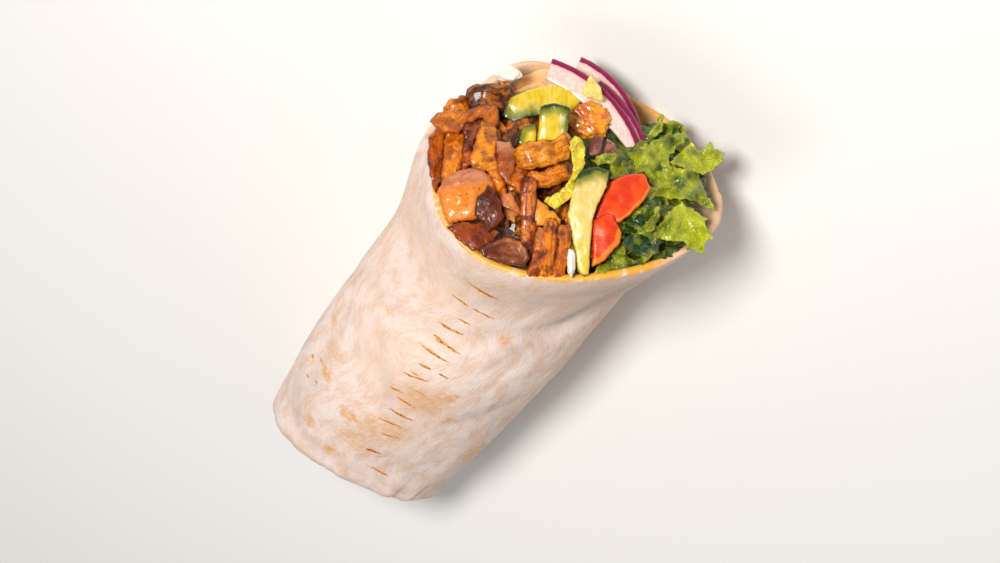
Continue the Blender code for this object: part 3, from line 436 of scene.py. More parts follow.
def along(values, s):
    """A smooth curve through evenly spaced values, read at s from 0 to 1."""
    place = min(max(s, 0.0), 1.0) * (len(values) - 1)
    i = min(int(place), len(values) - 2)
    t = place - i
    before, a, b = values[max(i - 1, 0)], values[i], values[i + 1]
    after = values[min(i + 2, len(values) - 1)]
    slope_a, slope_b = (b - before) / 2, (after - a) / 2
    bend = 2 * a - 2 * b + slope_a + slope_b
    return a + slope_a * t + (b - a - slope_a - bend) * t**2 + bend * t**3


def smooth(low, high, value):
    t = min(max((value - low) / (high - low), 0.0), 1.0)
    return t * t * (3 - 2 * t)


def wavy(x, y, z):
    """Smooth noise at a place, from about -1 to 1."""
    return noise.noise(Vector((x, y, z)))


def section(s):
    """Side drift, height of the middle, half width and half height of the tube at s."""
    half_width = along(HALF_WIDTHS, s)
    flatness = END_FLATNESS + (MOUTH_FLATNESS - END_FLATNESS) * max(s, 0.0) ** FLATNESS_POWER
    half_height = half_width * flatness
    return along(SIDE_DRIFTS, s), half_height - SETTLE, half_width, half_height


def rim_x(phi, y, z, notch=NOTCH_DEPTH):
    x = MOUTH_X + RIM_SKEW_Y * y + RIM_SKEW_Z * z
    for count, cosine, sine in RIM_WAVES:
        x += cosine * math.cos(count * phi) + sine * math.sin(count * phi)
    off = (phi - NOTCH_AT + math.pi) % (2 * math.pi) - math.pi
    return x - notch * math.exp(-((off / NOTCH_SPREAD) ** 4))


def wall_point(phi, s, inset, floor=None, notch=NOTCH_DEPTH):
    """A point of the tube's wall, inset from its face. phi runs from +Y over the top."""
    drift, middle, half_width, half_height = section(s)
    y = (half_width - inset) * math.cos(phi)
    z = (half_height - inset) * math.sin(phi)
    end = END_X + END_SKEW_Y * y + END_SKEW_Z * z
    x = end * (1 - s) + rim_x(phi, y, z, notch) * s
    lowest = inset if floor is None else floor
    return Vector((x - ORIGIN_X, drift + y, max(middle + z, lowest)))


def outer_inset(turn, s):
    """How far the outermost layer lies below the tube's face: each turn lies on the last."""
    return LAYER * (LAYER_MIDDLE - turn) * (1 - LAYER_FADE * s)


def mouth_frame():
    """Origin, across (u), towards the back (v) and outwards (n) of the plane of the mouth."""
    n = Vector((1.0, -RIM_SKEW_Y, -RIM_SKEW_Z)).normalized()
    u = Vector((0.0, -1.0, 0.0))
    u = (u - n * u.dot(n)).normalized()
    return MOUTH_MIDDLE, u, n.cross(u), n


def front_frame():
    """Right, up and towards the viewer, for one who looks down into the mouth."""
    towards = Vector((math.cos(LOOK_DOWN), 0.0, math.sin(LOOK_DOWN)))
    side = Vector((0.0, 1.0, 0.0))
    above = side.cross(-towards)
    right = side * math.cos(LOOK_TURN) + above * math.sin(LOOK_TURN)
    return right, above * math.cos(LOOK_TURN) - side * math.sin(LOOK_TURN), towards


def from_mouth(place):
    middle, u, v, n = mouth_frame()
    return middle + u * place[0] + v * place[1] + n * place[2]


def from_front(place):
    right, up, towards = front_frame()
    return MOUTH_MIDDLE + right * place[0] + up * place[1] + towards * place[2]


def mouth_slopes():
    """How the plane of the mouth falls away from the viewer, to the right and upwards."""
    n = mouth_frame()[3]
    right, up, towards = front_frame()
    return -n.dot(right) / n.dot(towards), -n.dot(up) / n.dot(towards)


def crown_height(u, v):
    return CROWN * (1 - (u / CROWN_U) ** 2 - (v / CROWN_V) ** 2)


def on_wall(degrees, s):
    """A mark's place on the unrolled sheet, in millimetres."""
    unrolled = degrees + 360 if degrees < math.degrees(SEAM_AT) else degrees
    return Vector((math.radians(unrolled) * AROUND, s * ALONG, 0.0))


def placed(name, data):
    """A new object in the scene."""
    obj = bpy.data.objects.new(name, data)
    bpy.context.scene.collection.objects.link(obj)
    return obj


def store(mesh, values):
    """Keeps named numbers or vectors with the points of a mesh."""
    for name, row in values.items():
        if isinstance(row[0], float):
            mesh.attributes.new(name, "FLOAT", "POINT").data.foreach_set("value", row)
        else:
            flat = [part for item in row for part in item]
            mesh.attributes.new(name, "FLOAT_VECTOR", "POINT").data.foreach_set("vector", flat)


class Skin:
    """Points in millimetres, faces, and named values for each point, of one piece to come."""

    def __init__(self):
        self.points, self.faces, self.values = [], [], {}

    def add(self, points, faces, **values):
        start = len(self.points)
        for name, row in values.items():
            blank = (0.0,) * len(row[0]) if isinstance(row[0], (tuple, list, Vector)) else 0.0
            self.values.setdefault(name, [blank] * start).extend(row)
        self.points.extend(points)
        self.faces.extend(tuple(start + i for i in face) for face in faces)

    def make(self, name, finish):
        """An object at the origin, in metres, closed and facing out."""
        mesh = bpy.data.meshes.new(name)
        mesh.from_pydata([tuple(MM * part for part in point) for point in self.points], [], self.faces)
        store(mesh, self.values)
        bm = bmesh.new()
        bm.from_mesh(mesh)
        bmesh.ops.recalc_face_normals(bm, faces=bm.faces)
        bm.to_mesh(mesh)
        bm.free()
        mesh.shade_smooth()
        mesh.materials.append(finish)
        return placed(name, mesh)


def loft(rings):
    """A closed skin over rings of equal length, with a fan over the first and the last."""
    count = len(rings[0])
    points = [point for ring in rings for point in ring]
    faces = []
    for row in range(len(rings) - 1):
        for i in range(count):
            a, b = row * count + i, row * count + (i + 1) % count
            faces.append((a, b, b + count, a + count))
    for start, ring in ((0, rings[0]), ((len(rings) - 1) * count, rings[-1])):
        faces += [(start + i, start + (i + 1) % count, len(points)) for i in range(count)]
        points.append(sum(ring, Vector()) / count)
    return points, faces


def looped(values):
    """Values for each point of a loft: those of its rings, and one for each pole."""
    row = [value for ring in values for value in ring]
    return row + [values[0][0], values[-1][0]]


def finish_piece(obj, slot, *nodes):
    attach(obj, "root")
    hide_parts(*nodes)
    return obj


def single(name, finish, slot, points, faces, **values):
    """A piece of one skin, which replaces the node of its name."""
    made = Skin()
    made.add(points, faces, **values)
    return finish_piece(made.make(f"{name}_piece", finish), slot, name)


# Node trees


class Field:
    """One output of a node. A sum with it adds a maths node to its tree."""

    def __init__(self, socket):
        self.socket, self.tree = socket, socket.id_data

    def __add__(self, other):
        return summed("ADD", self, other)

    def __sub__(self, other):
        return summed("SUBTRACT", self, other)

    def __rsub__(self, other):
        return summed("SUBTRACT", other, self)

    def __mul__(self, other):
        return summed("MULTIPLY", self, other)

    def __truediv__(self, other):
        return summed("DIVIDE", self, other)

    def __rtruediv__(self, other):
        return summed("DIVIDE", other, self)

    def __pow__(self, other):
        return summed("POWER", self, other)

    def __abs__(self):
        return maths("ABSOLUTE", self)

    __radd__, __rmul__ = __add__, __mul__


class Outputs:
    """The outputs of a node, by name or number."""

    def __init__(self, node):
        self.node = node

    def __getitem__(self, name):
        return Field(self.node.outputs[name])


def tree_of(*values):
    return next(value.tree for value in values if isinstance(value, Field))


def join(value, socket):
    """Links a node's output to the socket, or sets the socket to a plain value."""
    if isinstance(value, Field):
        value.tree.links.new(value.socket, socket)
    else:
        socket.default_value = value


def put(tree, kind, sockets=None, **options):
    """Adds a node with these options and inputs, and gives its outputs."""
    node = tree.nodes.new(kind)
    for name, value in options.items():
        setattr(node, name, value)
    for name, value in (sockets or {}).items():
        join(value, node.inputs[name])
    return Outputs(node)


def used(tree, group, **sockets):
    return put(tree, "ShaderNodeGroup", sockets, node_tree=group())


def maths(operation, *values):
    return put(tree_of(*values), "ShaderNodeMath", dict(enumerate(values)), operation=operation)[0]


def clamped(value):
    """Keeps the result of a maths node between 0 and 1."""
    value.socket.node.use_clamp = True
    return value


def vectors(operation, *values, scale=None):
    sockets = dict(enumerate(values))
    if scale is not None:
        sockets["Scale"] = scale
    made = put(tree_of(*values, scale), "ShaderNodeVectorMath", sockets, operation=operation)
    return made["Value" if operation in ("DOT_PRODUCT", "DISTANCE", "LENGTH") else "Vector"]


def highest(masks):
    return functools.reduce(lambda a, b: maths("MAXIMUM", a, b), masks)


def is_vector(value):
    if isinstance(value, Field):
        return value.socket.type in ("VECTOR", "RGBA")
    return isinstance(value, tuple)


def summed(operation, a, b):
    """A sum of two values, of two vectors, or a vector times a value."""
    if not is_vector(a) and not is_vector(b):
        return maths(operation, a, b)
    if is_vector(a) and is_vector(b):
        return vectors(operation, a, b)
    return vectors("SCALE", a, scale=b) if is_vector(a) else vectors("SCALE", b, scale=a)


def mixed(share, a, b, blend="MIX"):
    """Colours a and b, mixed by share."""
    a, b = (value if isinstance(value, Field) else (*value, 1.0) for value in (a, b))
    sockets = {0: share, 6: a, 7: b}
    return put(tree_of(share, a, b), "ShaderNodeMix", sockets, data_type="RGBA", blend_type=blend)[2]


def spread(value, low, high, start=0.0, end=1.0):
    """The value, moved smoothly from the range low to high into the range start to end."""
    sockets = {0: value, 1: low, 2: high, 3: start, 4: end}
    return put(value.tree, "ShaderNodeMapRange", sockets, interpolation_type="SMOOTHSTEP")[0]


def noise_of(vector, scale, detail=3.0, rough=0.55, warp=0.0):
    sockets = {"Vector": vector, "Scale": scale, "Detail": detail, "Roughness": rough, "Distortion": warp}
    return put(vector.tree, "ShaderNodeTexNoise", sockets)[0]


def value_of(tree, name):
    return put(tree, "ShaderNodeAttribute", attribute_name=name, attribute_type="GEOMETRY")


VECTOR, FLOAT, INTEGER = "NodeSocketVector", "NodeSocketFloat", "NodeSocketInt"
GEOMETRY, FINISH = "NodeSocketGeometry", "NodeSocketMaterial"
SOCKET_KINDS = {float: FLOAT, int: INTEGER, tuple: VECTOR}


def node_group(name, kind, inputs, outputs):
    """For a function that fills a node group, which is made with these sockets when it is first used.

    Each input says its kind of socket, or a default that shows the kind.
    """
    def wrap(fill):
        def group():
            if name in bpy.data.node_groups:
                return bpy.data.node_groups[name]
            tree = bpy.data.node_groups.new(name, kind)
            for label, given in inputs.items():
                socket_kind = given if isinstance(given, str) else SOCKET_KINDS[type(given)]
                socket = tree.interface.new_socket(label, in_out="INPUT", socket_type=socket_kind)
                if not isinstance(given, str):
                    socket.default_value = given
            for label, socket_kind in outputs.items():
                tree.interface.new_socket(label, in_out="OUTPUT", socket_type=socket_kind)
            start, end = (tree.nodes.new(f"NodeGroup{side}") for side in ("Input", "Output"))
            fill(tree, Outputs(start), end.inputs)
            return tree

        return group

    return wrap


@node_group(
    "Specks", "ShaderNodeTree", {"Vector": VECTOR, "Scale": 400.0, "Level": 0.6, "Softness": 0.05},
    {"Mask": FLOAT}
)
def specks_group(tree, given, out):
    """Scattered specks: where noise passes a level."""
    height = noise_of(given["Vector"], given["Scale"], 2.0, 0.5, 0.4)
    high = given["Level"] + given["Softness"]
    join(spread(height, given["Level"], high), out["Mask"])


@node_group(
    "Streaks", "ShaderNodeTree",
    {"Vector": VECTOR, "Stretch": (1.0, 0.2, 1.0), "Scale": 1.0, "Waviness": 2.0, "Detail": 4.0},
    {"Value": FLOAT}
)
def streaks_group(tree, given, out):
    """Long fine streaks, stretched along Y and slightly wavy."""
    sway = noise_of(given["Vector"], 0.03, 1.0, 0.5)
    push = (sway - 0.5) * given["Waviness"]
    aside = put(tree, "ShaderNodeCombineXYZ", {"X": push})[0]
    moved = given["Vector"] + aside
    place = moved * given["Stretch"]
    join(noise_of(place, given["Scale"], given["Detail"], 0.6, 0.12), out["Value"])


@node_group(
    "Toasted slit", "ShaderNodeTree", {"Vector": VECTOR, "Start": VECTOR, "End": VECTOR, "Width": 0.5},
    {"Edge": FLOAT, "Core": FLOAT}
)
def slit_group(tree, given, out):
    """A toasted slit between two places of the sheet, pointed at both ends."""
    whole = given["End"] - given["Start"]
    part = given["Vector"] - given["Start"]
    share = clamped(vectors("DOT_PRODUCT", part, whole) / vectors("DOT_PRODUCT", whole, whole))
    nearest = given["Start"] + whole * share
    away = vectors("DISTANCE", given["Vector"], nearest)
    off = abs(share * 2.0 - 1.0)
    taper = 1.0 - off ** 2.2
    width = given["Width"] * taper
    ratio = away / maths("MAXIMUM", width, 0.01)
    join(spread(ratio, 1.0, 0.55), out["Edge"])
    join(spread(ratio, 0.62, 0.2), out["Core"])


@node_group(
    "Toasted spot", "ShaderNodeTree", {"Vector": VECTOR, "Middle": VECTOR, "Radius": 3.0}, {"Mask": FLOAT}
)
def spot_group(tree, given, out):
    """A round, soft toasted spot."""
    ratio = vectors("DISTANCE", given["Vector"], given["Middle"]) / given["Radius"]
    join(spread(ratio, 1.25, 0.2), out["Mask"])


@node_group(
    "Leaf veins", "ShaderNodeTree", {"Vector": VECTOR, "Spacing": 3.4, "Width": 0.35}, {"Mask": FLOAT}
)
def veins_group(tree, given, out):
    """Veins of a leaf: a midrib along X and side veins that leave it at a slant."""
    sway = put(
        tree, "ShaderNodeTexNoise", {"Vector": given["Vector"], "Scale": 0.25, "Detail": 2.0}
    )["Color"] * 3.0
    parts = put(tree, "ShaderNodeSeparateXYZ", {0: given["Vector"] + sway})
    aside = abs(parts["Y"] - 1.5)
    rib = spread(aside, given["Width"], 0.0)
    slant = parts["X"] - aside * 0.9
    turn = maths("PINGPONG", slant, given["Spacing"])
    branch = spread(turn, given["Width"] * 0.9, 0.0)
    join(maths("MAXIMUM", rib, branch * 0.7), out["Mask"])


def new_finish(name, roughness, coat=0.0, coat_roughness=0.1, subsurface=0.0, radius=(1.0, 0.4, 0.2)):
    """A material with a Principled shader, its tree, the shader and the object's own coordinates."""
    made = bpy.data.materials.new(name)
    made.use_nodes = True
    tree = made.node_tree
    shader = tree.nodes["Principled BSDF"]
    constants = {
        "Roughness": roughness, "Coat Weight": coat, "Coat Roughness": coat_roughness,
        "Subsurface Weight": subsurface, "Subsurface Radius": radius, "Subsurface Scale": 2.0 * MM,
    }
    for socket, value in constants.items():
        shader.inputs[socket].default_value = value
    return made, tree, shader, put(tree, "ShaderNodeTexCoord")["Object"]


def completed(shader, colour, rough, height, strength, distance):
    """Links the colour, the roughness where it varies, and the fine relief of a finish."""
    relief = {"Height": height, "Strength": strength, "Distance": distance * MM}
    normal = put(colour.tree, "ShaderNodeBump", relief)[0]
    for socket, value in (("Base Color", colour), ("Roughness", rough), ("Normal", normal)):
        if value is not None:
            join(value, shader.inputs[socket])


def tortilla_finish():
    look = settings()
    made, tree, shader, place = new_finish("floury tortilla", 0.72)
    sheet = value_of(tree, "sheet")["Vector"]
    inside = value_of(tree, "inside")["Fac"]
    from_rim = value_of(tree, "from_rim")["Fac"]
    stain = value_of(tree, "stain")["Fac"]
    crease = value_of(tree, "crease")["Fac"]
    wobble = put(tree, "ShaderNodeTexNoise", {"Vector": sheet, "Scale": 0.45, "Detail": 3.0})["Color"]
    loose = sheet + (wobble - (0.5, 0.5, 0.5)) * 1.6
    looser = sheet + (wobble - (0.5, 0.5, 0.5)) * 9.0
    broad = used(tree, streaks_group, Vector=sheet, Stretch=(0.22, 0.09, 1.0), Waviness=20.0)["Value"]
    fine = used(
        tree, streaks_group, Vector=sheet, Stretch=(1.6, 0.3, 1.0), Waviness=20.0, Detail=5.0
    )["Value"]
    end = value_of(tree, "end")["Fac"]
    broad = spread(end, 0.0, 1.0, broad, noise_of(place, 90.0, 4.0, 0.6))
    fine = spread(end, 0.0, 1.0, fine, noise_of(place, 420.0, 5.0, 0.6))
    colour = mixed(spread(broad, 0.36, 0.6), look.dough, look.flour)
    colour = mixed(spread(fine, 0.4, 0.72) * 0.45, colour, (0.93, 0.86, 0.81))
    colour = mixed(spread(fine, 0.46, 0.26) * 0.42, colour, (0.66, 0.46, 0.37))
    warm = spread(noise_of(place, 16.0, 2.0), 0.45, 0.62, 0.0, 0.55)
    colour = mixed(warm, colour, (0.88, 0.6, 0.42))
    dull = spread(noise_of(place, 34.0, 3.0), 0.52, 0.68, 0.0, 0.45)
    colour = mixed(dull, colour, (0.62, 0.5, 0.45))
    # Painted shade in the creases: the sheet is darker where a point lies deep in one
    colour = mixed(crease * 0.45, colour, (0.52, 0.38, 0.31))
    spots = []
    for degrees, s, radius, strength in SPOTS:
        spot = used(tree, spot_group, Vector=looser, Middle=on_wall(degrees, s), Radius=radius * 1.1)
        spots.append(spot["Mask"] * min(1.0, strength * 2.2))
    grainy = highest(spots) * spread(noise_of(sheet, 0.5, 4.0, 0.6), 0.3, 0.6, 0.25, 1.0)
    outer = clamped(1.0 - inside)
    colour = mixed(grainy * outer, colour, look.toast)
    slits = []
    for first, s, last, t, width in SLITS:
        start, to = on_wall(first, s), on_wall(last, t)
        slits.append(used(tree, slit_group, Vector=loose, Start=start, End=to, Width=width * 1.35))
    edge, core = (highest([slit[part] for slit in slits]) * outer for part in ("Edge", "Core"))
    patchy = spread(noise_of(sheet, 0.9, 2.0), 0.35, 0.6)
    colour = mixed(edge * 0.92, colour, (0.8, 0.34, 0.045))
    colour = mixed(core * patchy, colour, (0.3, 0.075, 0.012))
    creamy = mixed(spread(noise_of(sheet, 0.16, 4.0), 0.35, 0.65), (0.86, 0.64, 0.36), (0.9, 0.47, 0.12))
    creamy = mixed(spread(stain, 0.05, 0.4), (0.78, 0.56, 0.4), creamy)
    colour = mixed(inside * 0.9, colour, creamy)
    ragged = noise_of(sheet, 0.55, 4.0, 0.65) * 3.4 - 1.1
    reach = ragged * stain
    stained = spread(reach - from_rim, -0.25, 0.5)
    colour = mixed(stained * 0.95, colour, (0.88, 0.37, 0.012))
    rough = spread(fine, 0.3, 0.7, 0.82, 0.66) + stained * -0.36
    dusty = noise_of(place, 1500.0, 3.0, 0.6)
    completed(shader, colour, rough, fine * 0.8 + dusty * 0.22 - edge * 0.35, 0.55, 0.45)
    return made


def meat_finish():
    made, tree, shader, place = new_finish("seared meat", 0.32, 0.27, 0.04)
    shader.inputs["Specular IOR Level"].default_value = 0.35
    fibrous = value_of(tree, "fibrous")["Fac"]
    tint, grain = value_of(tree, "tint")["Color"], value_of(tree, "grain")["Vector"]
    char = value_of(tree, "char")["Fac"]
    fibre = used(
        tree, streaks_group, Vector=grain, Stretch=(1.3, 0.22, 1.3), Waviness=3.0, Detail=5.0
    )["Value"]
    patches = noise_of(place, 210.0, 5.0, 0.65, 0.4)
    # Painted shade in the grooves between the fibres and painted highlight on their ridges, from the same
    # noise that raises the fibres
    dark = mixed(1.0, tint, (0.38, 0.2, 0.1), "MULTIPLY")
    fibre_shade_and_highlight = mixed(spread(fibre, 0.34, 0.6), dark, mixed(0.4, tint, (1.0, 0.5, 0.03)))
    colour = mixed(clamped(fibrous * 0.78), tint, fibre_shade_and_highlight)
    from_edge = value_of(tree, "from_edge")["Fac"]
    caught = patches * 2.4 - 0.7
    # Darker towards the edge of each broad slice: partly caramelised edges, partly painted shade where the
    # slices meet
    edge_glaze_and_shade = spread(from_edge - caught, 0.9, -0.2) * fibrous
    glazed = clamped(spread(patches, 0.48, 0.6) * (char * 0.9 + 0.25))
    glazed = maths("MAXIMUM", glazed, edge_glaze_and_shade)
    colour = mixed(glazed, colour, mixed(1.0, tint, (0.26, 0.08, 0.04), "MULTIPLY"))
    colour = mixed(1.0, colour, GLAZE, "MULTIPLY")
    crust = used(tree, specks_group, Vector=place, Scale=420.0, Level=0.555, Softness=0.08)["Mask"]
    dots = used(tree, specks_group, Vector=place, Scale=1300.0, Level=0.66, Softness=0.05)["Mask"]
    burnt = crust * char
    colour = mixed(burnt, colour, (0.04, 0.006, 0.002))
    colour = mixed(dots * 0.75, colour, (0.05, 0.012, 0.003))
    oily = spread(noise_of(place, 420.0, 3.0), 0.38, 0.62, 0.2, 0.5)
    height = fibre * (fibrous * 0.6) + patches * 0.6 + noise_of(place, 900.0, 3.0) * 0.6
    completed(shader, colour, oily, height, 0.9, 0.6)
    return made


def leaf_finish(name, bright, dark):
    made, tree, shader, place = new_finish(name, 0.36, 0.18, 0.12, 0.12, (0.4, 1.0, 0.1))
    leaf, light = value_of(tree, "leaf")["Vector"], value_of(tree, "light")["Fac"]
    from_edge = value_of(tree, "from_edge")["Fac"]
    veins = used(tree, veins_group, Vector=leaf, Spacing=2.3, Width=0.42)["Mask"]
    minor = put(tree, "ShaderNodeTexVoronoi", {"Vector": leaf, "Scale": 0.9}, feature="DISTANCE_TO_EDGE")[0]
    net = spread(minor, 0.12, 0.0)
    mottled = noise_of(place, 190.0, 4.0, 0.6)
    tone = clamped(light + (mottled * 2.2 - 1.12))
    colour = mixed(tone, dark, bright)
    colour = mixed(veins * (light * 0.4), colour, (0.5, 0.52, 0.08))
    colour = mixed(net * (light * 0.15), colour, (0.38, 0.44, 0.04))
    # Brighter yellow-green along the edge of each lit leaf: partly the leaf's own paler edge, partly painted
    # highlight
    rim = spread(from_edge, 1.1, 0.0) * (light * 0.7)
    colour = mixed(rim, colour, (0.52, 0.54, 0.03))
    height = veins * 0.7 + net * -0.35 + noise_of(place, 800.0, 3.0) * 0.5
    completed(shader, colour, spread(mottled, 0.35, 0.65, 0.26, 0.46), height, 0.8, 0.35)
    return made


def cucumber_finish():
    look = settings()
    made, tree, shader, place = new_finish("wet cucumber", 0.3, 0.35, 0.05, 0.2, (0.8, 1.0, 0.3))
    skin, flat = value_of(tree, "skin")["Fac"], value_of(tree, "flat")["Vector"]
    rows = used(tree, streaks_group, Vector=flat, Stretch=(1.1, 0.35, 1.0), Waviness=2.0)["Value"]
    cloudy = noise_of(place, 210.0, 4.0, 0.6)
    ripe = value_of(tree, "ripe")["Fac"]
    flesh = mixed(spread(rows, 0.35, 0.65), look.cucumber_flesh, (0.8, 0.62, 0.26))
    yellow = mixed(spread(rows, 0.35, 0.65), (0.66, 0.45, 0.012), (0.8, 0.58, 0.05))
    colour = mixed(spread(ripe + cloudy * 0.8, 0.55, 1.1), flesh, yellow)
    ragged = skin + (noise_of(place, 500.0, 3.0) * 0.5 - 0.25)
    colour = mixed(spread(ragged, 0.0, 0.66, 0.0, 0.95), colour, (0.17, 0.2, 0.008))
    colour = mixed(spread(ragged, 0.6, 0.84), colour, (0.014, 0.034, 0.003))
    rough = spread(cloudy, 0.35, 0.6, 0.16, 0.38)
    completed(shader, colour, rough, rows * 0.6 + cloudy * 0.5, 0.5, 0.4)
    return made


def tomato_finish():
    look = settings()
    made, tree, shader, place = new_finish("wet tomato", 0.34, 0.15, 0.06, 0.08, (1.0, 0.2, 0.1))
    skin, flat = value_of(tree, "skin")["Fac"], value_of(tree, "flat")["Vector"]
    cloudy = noise_of(place, 260.0, 4.0, 0.6)
    rows = used(tree, streaks_group, Vector=flat, Stretch=(0.5, 1.4, 1.0), Waviness=2.0)["Value"]
    colour = mixed(spread(cloudy, 0.4, 0.66), look.tomato_flesh, (0.84, 0.08, 0.004))
    ragged = skin + (rows * 0.5 - 0.25)
    colour = mixed(spread(ragged, 0.18, 0.42), colour, (0.88, 0.2, 0.012))
    height = cloudy * 0.5 + rows * 0.5 + spread(ragged, 0.18, 0.42) * 0.3
    completed(shader, colour, None, height, 0.5, 0.4)
    return made


def onion_finish():
    look = settings()
    made, tree, shader, place = new_finish("red onion", 0.34, 0.3, 0.1, 0.25, (1.0, 0.7, 0.8))
    skin = value_of(tree, "skin")["Fac"]
    cells = noise_of(place, 900.0, 3.0, 0.6)
    cloudy = noise_of(place, 150.0, 3.0)
    colour = mixed(spread(cells, 0.35, 0.65), (0.88, 0.66, 0.58), (0.82, 0.5, 0.45))
    colour = mixed(spread(cloudy, 0.45, 0.7, 0.0, 0.6), colour, (0.92, 0.74, 0.66))
    ragged = skin + (noise_of(place, 420.0, 3.0) * 0.24 - 0.12)
    colour = mixed(spread(ragged, 0.3, 0.42, 0.0, 0.35), colour, (0.7, 0.18, 0.3))
    colour = mixed(spread(ragged, 0.46, 0.54), colour, look.onion_skin)
    completed(shader, colour, None, cells, 0.45, 0.25)
    return made


def soft_finish(name):
    """Cooked onion, flakes and sauces: two colours that run into each other, and specks."""
    base, second, dots, roughness, coat, scale, strength = SOFT_LOOKS[name]
    made, tree, shader, place = new_finish(name, roughness, coat, 0.06, 0.12, (1.0, 0.5, 0.3))
    cloudy = noise_of(place, scale, 4.0, 0.6, 0.5)
    colour = mixed(spread(cloudy, 0.4, 0.62), base, second)
    specks = used(tree, specks_group, Vector=place, Scale=scale * 3.2, Level=0.62, Softness=0.08)["Mask"]
    colour = mixed(specks * 0.8, colour, dots)
    completed(shader, colour, None, cloudy + noise_of(place, scale * 2.6, 3.0) * 0.5, strength, 0.45)
    return made


# Geometry Nodes


def applied(tree, obj, values):
    """Sets a tree's named inputs on the object, and keeps what it makes as a plain mesh."""
    modifier = obj.modifiers.new(tree.name, "NODES")
    modifier.node_group = tree
    for item in tree.interface.items_tree:
        if item.item_type == "SOCKET" and item.in_out == "INPUT" and item.name in values:
            modifier[item.identifier] = values[item.name]
    return settled(obj)


def settled(obj):
    """Keeps what the object's modifiers make as its plain mesh, and removes them."""
    graph = bpy.context.evaluated_depsgraph_get()
    mesh = bpy.data.meshes.new_from_object(obj.evaluated_get(graph))
    obj.modifiers.clear()
    obj.data = mesh
    return obj


def gathered(geometry, material):
    """The last nodes of each tree: real meshes with their finish."""
    real = put(geometry.tree, "GeometryNodeRealizeInstances", {0: geometry})[0]
    return put(geometry.tree, "GeometryNodeSetMaterial", {"Geometry": real, "Material": material})[0]


@node_group(
    "Cooked strip", "GeometryNodeTree",
    {
        "Geometry": GEOMETRY, "Start": VECTOR, "End": VECTOR, "Facing": VECTOR, "Width": 4.0,
        "Thickness": 4.0, "Bend": 1.0, "Fibre height": 0.3, "Lump height": 0.5, "Seed": 0.0, "Sides": 26,
        "Rings": 44, "Material": FINISH
    },
    {"Geometry": GEOMETRY}
)
def strip_tree(tree, given, out):
    """A cooked strip of meat from a start to an end: flattened, arched, fibrous and uneven."""
    rod = put(
        tree, "GeometryNodeMeshCylinder",
        {"Vertices": given["Sides"], "Side Segments": given["Rings"], "Radius": 1.0, "Depth": 1.0},
        fill_type="TRIANGLE_FAN"
    )["Mesh"]
    at = put(tree, "ShaderNodeSeparateXYZ", {0: put(tree, "GeometryNodeInputPosition")[0]})
    t = at["Z"] + 0.5
    whole = given["End"] - given["Start"]
    length = vectors("LENGTH", whole)
    ahead = vectors("NORMALIZE", whole)
    side = vectors("NORMALIZE", vectors("CROSS_PRODUCT", given["Facing"], ahead))
    over = vectors("CROSS_PRODUCT", ahead, side)

    def squared(part):
        size = abs(part) ** 0.55
        return size * maths("SIGN", part)

    def uneven(offset, pace, low, high):
        where = put(tree, "ShaderNodeCombineXYZ", {"X": t * pace, "Y": given["Seed"], "Z": offset})[0]
        return spread(noise_of(where, 1.0, 2.0), 0.25, 0.75, low, high)

    off = abs(t * 2.0 - 1.0)
    fade = 1.0 - off ** 16.0
    fat = maths("MAXIMUM", maths("MAXIMUM", fade, 0.0) ** 0.42, 0.4)
    half = given["Width"] * fat * uneven(3.7, 2.4, 0.46, 0.62)
    thick = given["Thickness"] * fat * uneven(9.1, 2.0, 0.44, 0.58)
    y = squared(at["X"]) * half
    z = squared(at["Y"]) * thick
    arch = maths("SINE", t * math.pi) * given["Bend"]
    lift = z + (given["Thickness"] * -0.5 + arch)
    lift = lift + y * uneven(5.5, 2.0, -0.16, 0.16)
    sway = y + uneven(1.3, 2.2, -0.12, 0.12) * given["Width"]
    torn = put(tree, "ShaderNodeCombineXYZ", {"X": at["X"], "Y": at["Y"], "Z": given["Seed"]})[0]
    tear = (noise_of(torn, 1.3, 3.0) - 0.5) * given["Width"]
    slip = tear * off ** 6.0
    place = given["Start"] + ahead * slip + whole * t + side * sway + over * lift
    grain = put(tree, "ShaderNodeCombineXYZ", {"X": y, "Y": t * length, "Z": z})[0]
    shifted = grain + (3.1, 7.7, 5.3) * given["Seed"]
    kept = put(
        tree, "GeometryNodeStoreNamedAttribute", {"Geometry": rod, "Name": "grain", "Value": shifted},
        data_type="FLOAT_VECTOR", domain="POINT"
    )[0]
    bent = put(tree, "GeometryNodeSetPosition", {"Geometry": kept, "Position": place})[0]
    stored = put(tree, "GeometryNodeInputNamedAttribute", {"Name": "grain"}, data_type="FLOAT_VECTOR")[0]
    fibres = noise_of(stored * (1.1, 0.1, 1.1), 1.0, 4.0, 0.62, 0.4)
    lumps = noise_of(stored, 0.28, 2.0, 0.5)
    fibrous = (fibres - 0.5) * (given["Fibre height"] * 2.6)
    rise = fibrous + (lumps - 0.5) * (given["Lump height"] * 2.4)
    push = put(tree, "GeometryNodeInputNormal")[0] * rise
    rough = put(tree, "GeometryNodeSetPosition", {"Geometry": bent, "Offset": push})[0]
    join(gathered(rough, given["Material"]), out["Geometry"])


